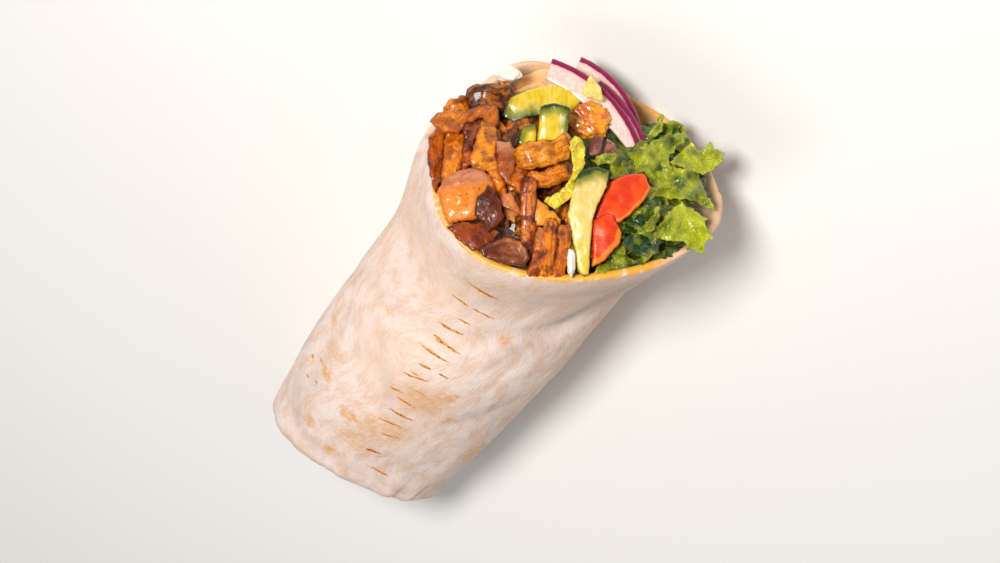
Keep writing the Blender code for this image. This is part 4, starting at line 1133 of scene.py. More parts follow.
@node_group(
    "Strewn crumbs", "GeometryNodeTree",
    {"Geometry": GEOMETRY, "Density": 80000.0, "Largest": 0.0006, "Seed": 1, "Material": FINISH},
    {"Geometry": GEOMETRY}
)
def crumbs_tree(tree, given, out):
    """Small flat crumbs strewn over a surface, more of them where its char is high."""
    char = put(tree, "GeometryNodeInputNamedAttribute", {"Name": "char"}, data_type="FLOAT")[0]
    density = given["Density"] * (char * 1.4 + 0.15)
    spots = put(
        tree, "GeometryNodeDistributePointsOnFaces",
        {"Mesh": given["Geometry"], "Density": density, "Seed": given["Seed"]}
    )
    crumb = put(tree, "GeometryNodeMeshIcoSphere", {"Radius": 0.5, "Subdivisions": 2})["Mesh"]
    size = put(
        tree, "FunctionNodeRandomValue",
        {"Min": (0.3, 0.3, 0.15), "Max": (1.0, 0.7, 0.4), "Seed": given["Seed"]}, data_type="FLOAT_VECTOR"
    )[0]
    scale = size * given["Largest"]
    strewn = put(
        tree, "GeometryNodeInstanceOnPoints",
        {"Points": spots["Points"], "Instance": crumb, "Rotation": spots["Rotation"], "Scale": scale}
    )[0]
    join(gathered(strewn, given["Material"]), out["Geometry"])


@node_group(
    "Uneven surface", "GeometryNodeTree",
    {
        "Geometry": GEOMETRY, "Broad height": 0.0, "Broad size": 0.006, "Fine height": 0.0,
        "Fine size": 0.002, "Material": FINISH
    },
    {"Geometry": GEOMETRY}
)
def relief_tree(tree, given, out):
    """Raises and lowers a surface along its normals, by broad and by fine noise."""
    place = put(tree, "GeometryNodeInputPosition")[0]
    rise = None
    for label in ("Broad", "Fine"):
        scale = 1.0 / given[f"{label} size"]
        height = noise_of(place, scale, 2.0, 0.5, 0.4) - 0.5
        part = height * given[f"{label} height"]
        rise = part if rise is None else rise + part
    push = put(tree, "GeometryNodeInputNormal")[0] * rise
    moved = put(tree, "GeometryNodeSetPosition", {"Geometry": given["Geometry"], "Offset": push})[0]
    join(gathered(moved, given["Material"]), out["Geometry"])


# Shapes


def crease_at(around, ahead):
    """Depth of the creases at a place of the unrolled sheet, and how deep in one it lies from 0 to 1."""
    depth = share = 0.0
    here = Vector((around, ahead))
    for first, s, last, t, deep, width in CREASES:
        start, end = on_wall(first, s).to_2d(), on_wall(last, t).to_2d()
        whole = end - start
        place = min(max((here - start).dot(whole) / whole.length_squared, 0.0), 1.0)
        away = (here - start - whole * place).length / width
        if away < 2.5:
            near = math.exp(-away * away)
            depth += deep * near
            share = max(share, near * min(deep, 1.0))
    return depth, share


def outer_skin(phi, turn, s, dents, wrinkles):
    """A point of the tortilla's uneven outer face, and how deep it lies in a crease."""
    point = wall_point(phi, s, outer_inset(turn, s), floor=0.0)
    flat = point.z == 0.0
    drift, middle, _, _ = section(s)
    out = Vector((0.0, point.y - drift, point.z - middle)).normalized()
    around, ahead = phi * AROUND, s * ALONG
    depth, share = crease_at(around, ahead)
    sway = 4.0 * wavy(around / 21, ahead / 21, 5.0)
    ripple = wavy((around + sway) / 6.5, ahead / 24, 1.7)
    ripple += 0.45 * wavy((around + 2 * sway) / 2.6, ahead / 12, 8.3)
    wrinkles *= 1 + END_WRINKLES * (1 - smooth(0.0, 0.14, s))
    rise = dents * noise.noise(point / DENT_SIZE) + wrinkles * ripple - CREASE_SHARE * depth
    rise += END_WAVES * wavy(phi * 1.9, 3.0, 0.0) * (1 - smooth(0.0, 0.16, s))
    point += out * rise
    point.z = 0.0 if flat else max(point.z, 0.0)
    return point, share


def stain_at(phi):
    """How far sauce has soaked into the rim: all along the front, little at the back."""
    degrees = math.degrees(phi) % 360
    front = smooth(8, 24, degrees) * (1 - smooth(138, 158, degrees))
    back = 0.5 * smooth(215, 240, degrees) * (1 - smooth(300, 320, degrees))
    return max(front, back, 0.06)


def rim_tear(phi):
    """How far the uneven edge of the rim stands out."""
    return RIM_TEARS * wavy(phi * 7, 2.0, 0.0)


def make_tortilla():
    """The outer sheet in one skin: folded end, outer face, rim and the wall of the cavity."""
    look = settings()
    dents, wrinkles = in_mm(look.dent_depth), in_mm(look.wrinkle_height)
    span = 2 * math.pi - 2 * SEAM_GAP
    shares = [i / (COLUMNS - 1) for i in range(COLUMNS)]
    angles = [(SEAM_AT + SEAM_GAP + span * share, share) for share in shares]
    rings = []
    values = {name: [] for name in ("sheet", "inside", "from_rim", "stain", "crease", "end")}

    def keep(ring, s, within, creases=None, on_end=0.0):
        rings.append(ring)
        values["sheet"].append([(phi * AROUND, s * ALONG, 0.0) for phi, _ in angles])
        values["inside"].append([within] * COLUMNS)
        values["from_rim"].append([max(1.0 - s, 0.0) * ALONG] * COLUMNS)
        values["stain"].append([stain_at(phi) for phi, _ in angles])
        values["crease"].append(creases or [0.0] * COLUMNS)
        values["end"].append([on_end] * COLUMNS)

    drift, middle, half_width, half_height = section(0.0)
    edges = [outer_skin(phi, turn, 0.0, dents, wrinkles)[0] for phi, turn in angles]
    for share in CAP_SHARES:
        bulge = CAP_DEPTH * (1 - share**CAP_POWER) ** (1 / CAP_POWER)
        ring = []
        for edge in edges:
            y, z = (edge.y - drift) * share, (edge.z - middle) * share
            fold_line = z / half_height - FOLD_LINE + FOLD_BEND * (y / half_width) ** 2
            fold = FOLD_STEP / (1 + math.exp(-fold_line / FOLD_SOFTNESS)) * (1 - share**4)
            pucker = PUCKER * wavy(y / PUCKER_SIZE, z / PUCKER_SIZE, 2.0) * (1 - share)
            ring.append(Vector((edge.x - bulge - fold - pucker, drift + y, middle + z)))
        keep(ring, -0.06 * (1 - share), 0.0, None, 1.0)
    near = range(len(rings) - END_RINGS, len(rings) + END_RINGS - 1)
    for s in OUTSIDE:
        ring, creases = [], []
        for phi, turn in angles:
            point, share = outer_skin(phi, turn, s, dents, wrinkles)
            ring.append(point + Vector((rim_tear(phi) * smooth(0.93, 1.0, s), 0.0, 0.0)))
            creases.append(share)
        keep(ring, s, 0.0, creases, 1 - smooth(0.0, 0.06, s))
    for _ in range(END_SOFTENED):
        softer = [
            [(a + 2 * b + c) / 4 for a, b, c in zip(rings[i - 1], rings[i], rings[i + 1])] for i in near
        ]
        for i, ring in zip(near, softer):
            for old, new in zip(rings[i], ring):
                new.z = old.z if old.z < 0.05 else new.z
            rings[i] = ring
    for share, ahead in RIM_ROUNDING:
        ring = []
        for phi, turn in angles:
            start = outer_inset(turn, 1.0)
            inset = start + (RIM_INSIDE - start) * share
            ring.append(wall_point(phi, 1.0, inset) + Vector((ahead + rim_tear(phi), 0.0, 0.0)))
        keep(ring, 1.0, 0.35 + 0.3 * share)
    for s in INSIDE:
        inset = along((WALL_INSIDE, WALL_INSIDE, WALL_INSIDE, WALL_INSIDE, RIM_INSIDE), s)
        ring = []
        for phi, _ in angles:
            dimple = DIMPLES * wavy(phi * 6, s * 12, 4.0) * smooth(0.0, 0.02, 1 - s)
            ring.append(wall_point(phi, s, inset + abs(dimple)))
        keep(ring, s, 1.0)
    drift, middle, _, _ = section(CAVITY_FROM)
    middles = [Vector((point.x, drift, middle)) for point in rings[-1]]
    back = Vector((0.8, 0.0, 0.0))
    keep([point.lerp(towards, 0.5) - back for point, towards in zip(rings[-1], middles)], 0.05, 1.0)
    skin = Skin()
    skin.add(*loft(rings), **{name: looped(rows) for name, rows in values.items()})
    return skin


def make_inner_turn():
    """The first turn of the sheet, which stands off the wall inside the mouth, with a soft wavy edge."""
    stations = [row[0] for row in INNER_ROWS]
    whole = stations[-1] - stations[0]
    steps = [stations[0] + whole * i / INNER_STEPS for i in range(INNER_STEPS + 1)]
    rings, sheet, from_rim = [], [], []
    crest = [i / CREST_STEPS for i in range(1, CREST_STEPS)]
    for i in range(INNER_COLUMNS):
        phi = INNER_FROM + (INNER_TO - INNER_FROM) * i / (INNER_COLUMNS - 1)
        dip = 1 + 0.010 * math.sin(5 * phi)
        full = smooth(FOLD_FROM, FOLD_FROM + 0.25, phi) * (1 - smooth(INNER_TO - 0.12, INNER_TO, phi))
        ring = []
        for side, order in ((1, steps), (2, steps[::-1])):
            for s in order:
                depth = float(np.interp(s, stations, [row[side] for row in INNER_ROWS]))
                grow = smooth(0.8, 0.95, s)
                wave = 0.55 * grow * wavy(phi * 5, s * 9, 3.0)
                wave += 0.25 * grow * wavy(phi * 14, s * 30, 7.0)
                ragged = 0.006 * grow * wavy(phi * 9, 0.0, 1.0)
                aim = RIM_INSIDE + 0.5 if side == 1 else FOLD_DEPTH
                depth += (aim - depth) * full * grow
                ring.append(wall_point(phi, (s + ragged) * dip, depth + wave))
        top = len(steps)
        outer, inner = ring[top - 1], ring[top]
        over = []
        for t in crest:
            lump = 1 + 0.35 * wavy(phi * 8, t * 3, 2.0)
            plain = 0.6 * math.sin(math.pi * t) ** 0.6
            double = (5.2 - 2.6 * t) * abs(math.sin(2 * math.pi * t)) ** 0.55 * lump
            double -= 0.4 * math.sin(math.pi * t)
            over.append(outer.lerp(inner, t) + Vector((plain + (double - plain) * full, 0.0, 0.0)))
        ring[top:top] = over
        rings.append(ring)
        ahead = steps + [steps[-1] + 0.01 * t for t in crest] + steps[::-1]
        sheet.append([(phi * AROUND, s * ALONG + 40.0, 0.0) for s in ahead])
        from_rim.append([max(steps[-1] - s, 0.0) * ALONG + 0.3 for s in ahead])
    points, faces = loft(rings)
    even = {name: [value] * len(points) for name, value in INNER_VALUES.items()}
    skin = Skin()
    skin.add(points, faces, sheet=looped(sheet), from_rim=looped(from_rim), **even)
    return skin


def core(fineness=110):
    """The filling without its loose pieces. It swells in the mouth and stands up in the notch."""
    angles = [2 * math.pi * i / fineness for i in range(fineness)]
    inset = WALL_INSIDE + CORE_CLEAR
    drift, middle, _, _ = section(CORE_START)
    rings = []
    for share in (0.35, 0.75):
        edges = [wall_point(phi, CORE_START, inset) for phi in angles]
        rings.append([
            Vector((edge.x, drift + (edge.y - drift) * share, middle + (edge.z - middle) * share))
            for edge in edges
        ])
    for s in CORE_STATIONS:
        ring = []
        for phi in angles:
            beside = smooth(INNER_FROM - 0.15, INNER_FROM, phi) * (1 - smooth(INNER_TO, INNER_TO + 0.1, phi))
            room = inset + BESIDE_ROOM * beside * smooth(0.66, 0.82, s)
            back = BESIDE_BACK * beside * smooth(0.9, 0.95, s)
            ring.append(wall_point(phi, s - back, room, notch=CORE_NOTCH))
        rings.append(ring)
    centre, u, v, n = mouth_frame()
    edges = [edge - centre for edge in rings[-1]]
    reach = [row[0] for row in SHOULDER][::-1]
    rises = [row[1] for row in SHOULDER][::-1]
    for i in range(CROWN_RINGS):
        share = CROWN_FROM - (CROWN_FROM - CROWN_TO) * i / (CROWN_RINGS - 1)
        rise = float(np.interp(share, reach, rises))
        if share >= reach[-1]:
            rise = rises[-1] * (CROWN_FROM - share) / (CROWN_FROM - reach[-1])
        ring = []
        for edge in edges:
            across, back, low = edge.dot(u) * share, edge.dot(v) * share, edge.dot(n)
            height = crown_height(across, back) - CORE_DROP
            height += CROWN_LUMPS * noise.noise(Vector((across, back, 0.0)) / LUMP_SIZE)
            ring.append(from_mouth((across, back, low + (height - low) * rise)))
        rings.append(ring)
    return loft(rings)


def half_space(shift):
    """The side of the tube that holds the meat, as one long block with a bent face."""
    outline = [(y + shift, z + shift) for y, z in DIVIDER] + [(2.2, 2.4)]
    rings = []
    for s in (-0.15, 0.1, 0.35, 0.6, 0.85, 1.0, 1.35):
        drift, middle, half_width, half_height = section(s)
        x = END_X + (MOUTH_X - END_X) * s - ORIGIN_X
        rings.append([Vector((x, drift + y * half_width, middle + z * half_height)) for y, z in outline])
    return loft(rings)


def make_bed(name, operation, shift, finish, values):
    """One side of the filling's core, cut along the line where meat meets salad, and made uneven."""
    whole, block = Skin(), Skin()
    whole.add(*core())
    block.add(*half_space(shift))
    bed, cutter = whole.make(name, finish), block.make(f"{name}_side", finish)
    cut = bed.modifiers.new("side", "BOOLEAN")
    cut.operation, cut.object, cut.solver = operation, cutter, "MANIFOLD"
    settled(bed)
    bpy.data.objects.remove(cutter)
    applied(relief_tree(), bed, {**BED_RELIEF, "Material": finish})
    verts = bed.data.vertices
    places = [tuple(map(in_mm, vert.co)) for vert in verts]
    store(bed.data, {
        label: places if value is None else [value] * len(verts) for label, value in values.items()
    })
    return bed


def middle_of(outline):
    return sum((Vector(point) for point in outline), Vector((0.0, 0.0))) / len(outline)


def eased(outline, corner, rounds=2):
    """Cuts the corners of an outline, first by the given share of its sides, then by a quarter."""
    points = [Vector(point) for point in outline]
    for share in [corner] + [0.25] * (rounds - 1):
        pairs = zip(points, points[1:] + points[:1])
        points = [place for a, b in pairs for place in (a.lerp(b, share), a.lerp(b, 1 - share))]
    return points


def dense(points, step, ragged=0.0, pace=1.0, seed=0):
    """Points along a closed outline no farther apart than step, moved aside by noise."""
    row = []
    for a, b in zip(points, points[1:] + points[:1]):
        count = max(1, round((b - a).length / step))
        row += [a.lerp(b, i / count) for i in range(count)]
    if not ragged:
        return row
    shift = Vector((seed * 7.3, 0.0))
    places = [point * pace + shift for point in row]
    asides = [Vector((wavy(*place, 1.0), wavy(*place, 9.0))) for place in places]
    return [point + ragged * aside for point, aside in zip(row, asides)]


def to_lines(places, starts, ends):
    """For each place, its distance to the nearest of the line pieces."""
    places, starts, ends = (np.array([tuple(p)[:2] for p in row], float) for row in (places, starts, ends))
    whole = ends - starts
    part = places[:, None, :] - starts[None]
    share = np.clip((part * whole).sum(2) / np.maximum((whole**2).sum(1), 1e-9), 0.0, 1.0)
    return np.sqrt(((part - share[..., None] * whole) ** 2).sum(2)).min(1)


def filled(outline, step):
    """Splits an outline into triangles of about one size. Gives points, faces and distance to the edge."""
    count = len(outline)
    ends = outline[1:] + outline[:1]
    low_x, high_x = min(p.x for p in outline), max(p.x for p in outline)
    low_y, high_y = min(p.y for p in outline), max(p.y for p in outline)
    grid = []
    row = 0
    y = low_y
    while y < high_y:
        x = low_x + (0.5 * step if row % 2 else 0.0)
        while x < high_x:
            grid.append(Vector((x, y)))
            x += step
        y += 0.87 * step
        row += 1
    away = to_lines(grid, outline, ends)
    inner = [place for place, gap in zip(grid, away) if gap > 0.75 * step]
    for inset in (0.22, 0.55):
        for i, place in enumerate(outline):
            side = ends[i] - outline[i - 1]
            if side.length:
                aside = Vector((-side.y, side.x)).normalized() * inset * step
                inner += [place + aside, place - aside]
    away = to_lines(inner, outline, ends)
    inner = [place for place, gap in zip(inner, away) if gap > 0.18 * step]
    points, _, faces, _, _, _ = delaunay_2d_cdt(outline + inner, [], [list(range(count))], 1, 1e-4)
    return points, faces, to_lines(points, outline, ends)


def slab(outline, depth, lean, thickness, relief, step, rounding):
    """A slice with rounded edges: points, faces, places on the drawing plane and distance to the edge."""
    slope_x, slope_y = mouth_slopes()
    middle = middle_of(outline)
    flat, faces, away = filled(outline, step)
    points, places, gaps = [], [], []
    index = {}
    for side in (1, -1):
        for i, (place, gap) in enumerate(zip(flat, away)):
            if gap < 1e-3 and side < 0:
                index[i, side] = index[i, 1]
                continue
            x, y = place.x - middle.x, place.y - middle.y
            swell = (1 - (1 - min(gap / rounding, 1.0)) ** EDGE_POWER) ** (1 / EDGE_POWER)
            height = depth + lean * (slope_x * x + slope_y * y) + relief(place, gap, x, y) - thickness / 2
            index[i, side] = len(points)
            points.append(from_front((place.x, place.y, height + side * swell * thickness / 2)))
            places.append((place.x, place.y, side * 1.0))
            gaps.append(float(gap))
    made = [tuple(index[i, 1] for i in face) for face in faces]
    made += [tuple(index[i, -1] for i in reversed(face)) for face in faces]
    return points, [face for face in made if len(set(face)) == 3], places, gaps


def waves(height, seed, ruffle=0.0):
    """Relief of a leaf: the waves of the solid, and small ruffles that grow towards the edge."""
    draw = random.Random(seed)
    turn, phase = draw.uniform(0, math.pi), draw.uniform(0, 2 * math.pi)

    def relief(place, gap, x, y):
        away = x * math.cos(turn) + y * math.sin(turn)
        aside = y * math.cos(turn) - x * math.sin(turn)
        grow = min(1.0, math.hypot(x, y) / 8.0)
        rise = height * grow * math.sin(WAVE_PACE * away + 0.3 * aside + phase)
        edge = math.exp(-gap / 2.2)
        small = wavy(place.x / 1.9, place.y / 1.9, seed * 3.0)
        broad = wavy(place.x / 3.8, place.y / 3.8, seed * 5.0)
        return rise + ruffle * (small * (0.5 + 1.3 * edge) + 1.5 * broad)

    return relief


def bowed(height, bumps=0.0, size=3.0, seed=0):
    """Relief of a slice: its middle is higher or lower than its edge, and its face is uneven."""
    def relief(place, gap, x, y):
        bump = wavy(place.x / size, place.y / size, seed * 2.0)
        return height * (1 - (x * x + y * y) / BOW_REACH) + bumps * bump

    return relief


def cupped(place, gap, x, y):
    """Relief of a curled slice: a raised rim round a hollow."""
    height = 1.1 + 0.9 * wavy(x / 2.6, y / 2.6, 0.5)
    return height * math.exp(-((gap - 1.0) / 0.6) ** 2) - 1.8 * smooth(1.0, 3.0, gap + 0.12 * (x + 18.0))


def far_share(place, ahead):
    """How much of the far side's colour a slice of meat shows at a place."""
    return smooth(0.5, 4.5, ahead + 1.2 * noise.noise(Vector(place) / 2.0))


def cup_highlight(place, gap):
    """Painted highlight on the curled slice, as a share of its second colour: along the lit part of its rim,
    and in a thin ring.
    """
    lit = smooth(-23.5, -15, place[0]) * smooth(-26.0, -21.5, place[1])
    near_rim = 0.9 * lit * math.exp(-((gap - 1.1) / 0.7) ** 2)
    return max(near_rim, 0.4 * lit * math.exp(-((gap - 2.9) / 0.3) ** 2))


def arc_band(middle, radius, first, last, widths, steps=40):
    """Outline of part of a ring, with its width at the start, the middle and the end."""
    outer, inner = [], []
    for i in range(steps):
        t = i / (steps - 1)
        angle = math.radians(first + (last - first) * t)
        width = widths[0] * (1 - t) ** 2 + (2 * widths[1] - (widths[0] + widths[2]) / 2) * 2 * t * (1 - t)
        width += widths[2] * t**2
        for points, reach in ((outer, radius), (inner, radius - width)):
            points.append(Vector((middle[0] + reach * math.cos(angle), middle[1] + reach * math.sin(angle))))
    return outer + inner[::-1]


def skin_share(places, line, reach):
    """How near each place is to a slice's skin, from 1 on it to 0 at its reach."""
    gaps = to_lines(places, line[:-1], line[1:])
    return [float(max(0.0, 1.0 - gap / reach)) for gap in gaps]


def make_slice(name, finish, slot, corner=0.07, ragged=0.15, rounding=0.6, bumps=0.3):
    depth, lean, thick, outline = SLICES[name]
    seed, step = len(name), in_mm(settings().point_spacing)
    border = dense(eased(outline, corner), step, ragged, 0.8, seed)
    relief = bowed(SLICE_BOW, bumps, 3.0, seed)
    points, faces, places, gaps = slab(border, depth, lean, thick, relief, step, rounding)
    skin = [0.0] * len(points)
    for line, reach in SKINS.get(name, ()):
        skin = [max(a, b) for a, b in zip(skin, skin_share(places, line, reach))]
    ripe = [0.5 * smooth(-8, -26, place[1]) if name == "cucumber_spear" else 0.85 for place in places]
    return single(name, finish, slot, points, faces, skin=skin, flat=places, from_edge=gaps, ripe=ripe)


def make_blob(name, finish, slot, lumps, segments=56):
    place, sizes = BLOBS[name]
    seed = list(BLOBS).index(name)
    bm = bmesh.new()
    bmesh.ops.create_uvsphere(bm, u_segments=segments, v_segments=segments // 2, radius=1.0)
    for vert in bm.verts:
        point = vert.co.copy()
        swell = 1 + 0.22 * noise.noise(point * 1.6 + Vector((seed, 0.0, 0.0)))
        swell += lumps * noise.noise(point * 4.0 + Vector((seed, 3.0, 0.0)))
        swell += 0.5 * lumps * noise.noise(point * 9.0 + Vector((seed, 6.0, 0.0)))
        vert.co = from_front([at + swell * size * part for at, size, part in zip(place, sizes, point)])
    bm.verts.index_update()
    points = [vert.co.copy() for vert in bm.verts]
    faces = [tuple(vert.index for vert in face.verts) for face in bm.faces]
    bm.free()
    return single(name, finish, slot, points, faces)


def to_front(point):
    """The place of a point as the viewer sees it: right, up and towards the viewer."""
    return [(point - MOUTH_MIDDLE).dot(axis) for axis in front_frame()]


def within(area, x, y):
    """True where the place lies inside the area's outline."""
    crossed = False
    for (x0, y0), (x1, y1) in zip(area, area[1:] + area[:1]):
        if (y0 > y) != (y1 > y) and x < (x1 - x0) * (y - y0) / (y1 - y0) + x0:
            crossed = not crossed
    return crossed


def strewn(area, apart, draw):
    """Places all over an area, about the given distance apart."""
    found = []
    for _ in range(4000):
        x = draw.uniform(min(p[0] for p in area), max(p[0] for p in area))
        y = draw.uniform(min(p[1] for p in area), max(p[1] for p in area))
        in_mouth = (x / STREWN_U) ** 2 + (y / STREWN_V) ** 2 < STREWN_REACH
        if in_mouth and within(area, x, y):
            if all((x - a) ** 2 + (y - b) ** 2 > apart**2 for a, b in found):
                found.append((x, y))
    return found


def add_strip(skin, finish, start, end, size, bend, tint, char, seed, sides=26, rings=44):
    """Adds one cooked strip, made by its node tree, to a skin in millimetres."""
    rod = placed("strip", bpy.data.meshes.new("strip"))
    applied(strip_tree(), rod, {
        "Start": from_mouth(start), "End": from_mouth(end), "Facing": front_frame()[2], "Width": size[0],
        "Thickness": size[1], "Bend": bend, "Fibre height": in_mm(settings().fibre_height),
        "Lump height": LUMPS * size[0], "Seed": float(seed), "Sides": sides, "Rings": rings,
        "Material": finish,
    })
    mesh = rod.data
    count = len(mesh.vertices)
    grain = [tuple(item.vector) for item in mesh.attributes["grain"].data]
    points = [vert.co.copy() for vert in mesh.vertices]
    faces = [tuple(face.vertices) for face in mesh.polygons]
    skin.add(points, faces, grain=grain, tint=[tint] * count, char=[char] * count, fibrous=[1.0] * count,
             from_edge=[9.0] * count)
    bpy.data.objects.remove(rod)


class GYRO_OT_tortilla(bpy.types.Operator):
    """The rolled tortilla, with its dents, wrinkles, toasted slits and stained rim"""

    bl_idname = "gyro.tortilla"
    bl_label = "Tortilla"

    def execute(self, context):
        finish = tortilla_finish()
        finish_piece(make_tortilla().make("tortilla_roll", finish), "tortilla", "tortilla")
        finish_piece(make_inner_turn().make("tortilla_inner_turn", finish), "tortilla", "tortilla")
        return {"FINISHED"}


class GYRO_OT_meat(bpy.types.Operator):
    """The bed of meat, its strips and its broad slices"""

    bl_idname = "gyro.meat"
    bl_label = "Meat"

    def execute(self, context):
        look = settings()
        finish = meat_finish()
        bed = make_bed("meat_bed", "INTERSECT", 0.0, finish, MEAT_BED)
        finish_piece(bed, "meat", "gyro_meat")
        strips = Skin()
        for seed, (start, end, width, thickness, bend, tint, char) in enumerate(STRIPS):
            size = (STRIP_WIDENING * width, STRIP_THICKENING * thickness)
            add_strip(strips, finish, start, end, size, bend, tint, char, seed)
        finish_piece(strips.make("meat_strips", finish), "meat", "gyro_meat")
        shreds = Skin()
        draw = random.Random(look.crumb_seed)
        for seed, (u, v) in enumerate(strewn(MEAT_AREA, SHRED_GAP, draw)):
            height = crown_height(u, v) - CORE_DROP + draw.uniform(*SHRED_RISE)
            turn = math.radians(draw.gauss(*SHRED_TURN))
            reach = draw.uniform(*SHRED_REACH)
            across, back = reach * math.cos(turn), reach * math.sin(turn)
            tip = draw.uniform(*SHRED_TIP)
            start, end = (u - across, v - back, height - tip), (u + across, v + back, height + tip)
            size = (draw.uniform(*SHRED_WIDTH), draw.uniform(*SHRED_THICKNESS))
            bend, tint = draw.uniform(*SHRED_BEND), draw.choice(SHRED_TINTS)
            char = draw.uniform(*SHRED_CHAR)
            add_strip(shreds, finish, start, end, size, bend, tint, char, seed + SHRED_SEED, 14, 18)
        finish_piece(shreds.make("meat_shreds", finish), "meat", "gyro_meat")
        slices = Skin()
        step = in_mm(look.point_spacing)
        for seed, (name, row) in enumerate(MEAT_SLICES.items()):
            depth, lean, bow, outline, tint, far_tint, turn, char = row
            middle = middle_of(outline)
            relief, thick, fibrous, grow = bowed(bow, 0.45, 2.6, seed), MEAT_THICKNESS, 0.2, 1.0
            if name.startswith("band"):
                relief, thick, fibrous = bowed(bow, 1.1, 2.1, seed), BAND_THICKNESS, 0.5
                grow = BAND_GROWTH
            elif bow < 0:
                relief = cupped
            outline = [middle + (Vector(point) - middle) * grow for point in outline]
            border = dense(eased(outline, 0.05, 2), step, 0.5, 0.7, seed)
            points, faces, places, gaps = slab(border, depth, lean, thick, relief, step, 0.55)
            way = Vector((math.cos(math.radians(turn)), math.sin(math.radians(turn))))
            across = Vector((-way.y, way.x))
            tints = []
            for place, gap in zip(places, gaps):
                ahead = (Vector(place[:2]) - middle).dot(way)
                share = cup_highlight(place, gap) if bow < 0 else far_share(place, ahead)
                tints.append(tuple(a + (b - a) * share for a, b in zip(tint, far_tint)))
            grain = [(Vector(p[:2]).dot(way) + seed * 9, Vector(p[:2]).dot(across), p[2]) for p in places]
            slices.add(points, faces, grain=grain, tint=tints, char=[char] * len(points),
                       fibrous=[fibrous] * len(points), from_edge=gaps)
        finish_piece(slices.make("meat_slices", finish), "meat", "gyro_meat")
        return {"FINISHED"}


class GYRO_OT_salad(bpy.types.Operator):
    """The bed of salad and its torn leaves"""

    bl_idname = "gyro.salad"
    bl_label = "Salad"

    def execute(self, context):
        look = settings()
        finish = leaf_finish("lettuce leaf", look.leaf_bright, look.leaf_dark)
        bed = make_bed("salad_bed", "DIFFERENCE", -DIVIDER_SHIFT, finish, SALAD_BED)
        finish_piece(bed, "lettuce", "lettuce")
        leaves = Skin()
        step = in_mm(look.point_spacing)
        for seed, (depth, lean, height, outline, light, start, end) in enumerate(LEAVES.values()):
            border = dense(eased(outline, 0.05, 1), step, 0.75, 0.8, seed)
            relief = waves(height, seed, 1.4 * in_mm(look.ruffle_height))
            points, faces, places, gaps = slab(border, depth, lean, LEAF_THICKNESS, relief, step, 0.6)
            way = (Vector(end) - Vector(start)).normalized()
            from_start = [Vector(p[:2]) - Vector(start) for p in places]
            leaf = [(away.dot(way) + seed * 31, -away.cross(way), 0.0) for away in from_start]
            shade = [light + LEAF_SHADE + LEAF_PATCHES * noise.noise(Vector(p) / 2.8) for p in places]
            leaves.add(points, faces, leaf=leaf, light=shade, from_edge=gaps)
        finish_piece(leaves.make("salad_leaves", finish), "lettuce", "lettuce")
        scraps = Skin()
        draw = random.Random(look.crumb_seed + 9)
        for seed, (u, v) in enumerate(strewn(SALAD_AREA, SCRAP_GAP, draw)):
            lift = draw.uniform(0.0, 1.0) ** 2
            height = crown_height(u, v) - CORE_DROP + SCRAP_RISE * lift
            a, b, depth = to_front(from_mouth((u, v, height)))
            count = draw.choice(SCRAP_CORNERS)
            reach = draw.uniform(*SCRAP_REACH)
            turn = draw.uniform(0, 6.3)
            outline = []
            for i in range(count):
                angle = turn + 2 * math.pi * i / count
                size = reach * draw.uniform(*SCRAP_SIZE)
                outline.append((a + 1.3 * size * math.cos(angle), b + 0.8 * size * math.sin(angle)))
            border = dense(eased(outline, 0.06, 1), 1.2 * step, 0.5, 1.1, seed)
            relief = waves(1.2, seed + 5, 1.2 * in_mm(look.ruffle_height))
            lean = draw.uniform(*SCRAP_LEAN)
            points, faces, places, gaps = slab(
                border, depth, lean, SCRAP_THICKNESS, relief, 1.2 * step, 0.6
            )
            light = 0.6 * lift + draw.uniform(*SCRAP_LIGHT)
            leaf = [(p[0] * 0.9 + seed * 5, p[1], 0.0) for p in places]
            scraps.add(points, faces, leaf=leaf, light=[light] * len(points), from_edge=gaps)
        finish_piece(scraps.make("salad_scraps", finish), "lettuce", "lettuce")
        return {"FINISHED"}


class GYRO_OT_cucumber(bpy.types.Operator):
    """The four pieces of cucumber"""

    bl_idname = "gyro.cucumber"
    bl_label = "Cucumber"

    def execute(self, context):
        finish = cucumber_finish()
        for name in ("cucumber_spear", "cucumber_block", "cucumber_strip", "cucumber_end"):
            make_slice(name, finish, "cucumber")
        return {"FINISHED"}


class GYRO_OT_tomato(bpy.types.Operator):
    """The two pieces of tomato"""

    bl_idname = "gyro.tomato"
    bl_label = "Tomato"

    def execute(self, context):
        finish = tomato_finish()
        for name in ("tomato_upper", "tomato_lower"):
            make_slice(name, finish, "tomato", ragged=0.25)
        return {"FINISHED"}


class GYRO_OT_red_onion(bpy.types.Operator):
    """The three slices of red onion, each with a coloured outer edge"""

    bl_idname = "gyro.red_onion"
    bl_label = "Red onion"

    def execute(self, context):
        finish = onion_finish()
        step = in_mm(settings().point_spacing)
        for seed, (name, (depth, lean, thickness, *arc)) in enumerate(ONIONS.items()):
            border = dense(arc_band(*arc), step, 0.1, 0.6, seed)
            relief = bowed(SLICE_BOW, 0.2, 4.0, seed)
            points, faces, places, _ = slab(border, depth, lean, thickness, relief, step, 0.7)
            middle, radius = Vector(arc[0]), arc[1]
            skin = [max(0.0, 1.0 - (radius - (Vector(p[:2]) - middle).length) / ONION_EDGE) for p in places]
            single(name, finish, "red_onion", points, faces, skin=skin)
        return {"FINISHED"}


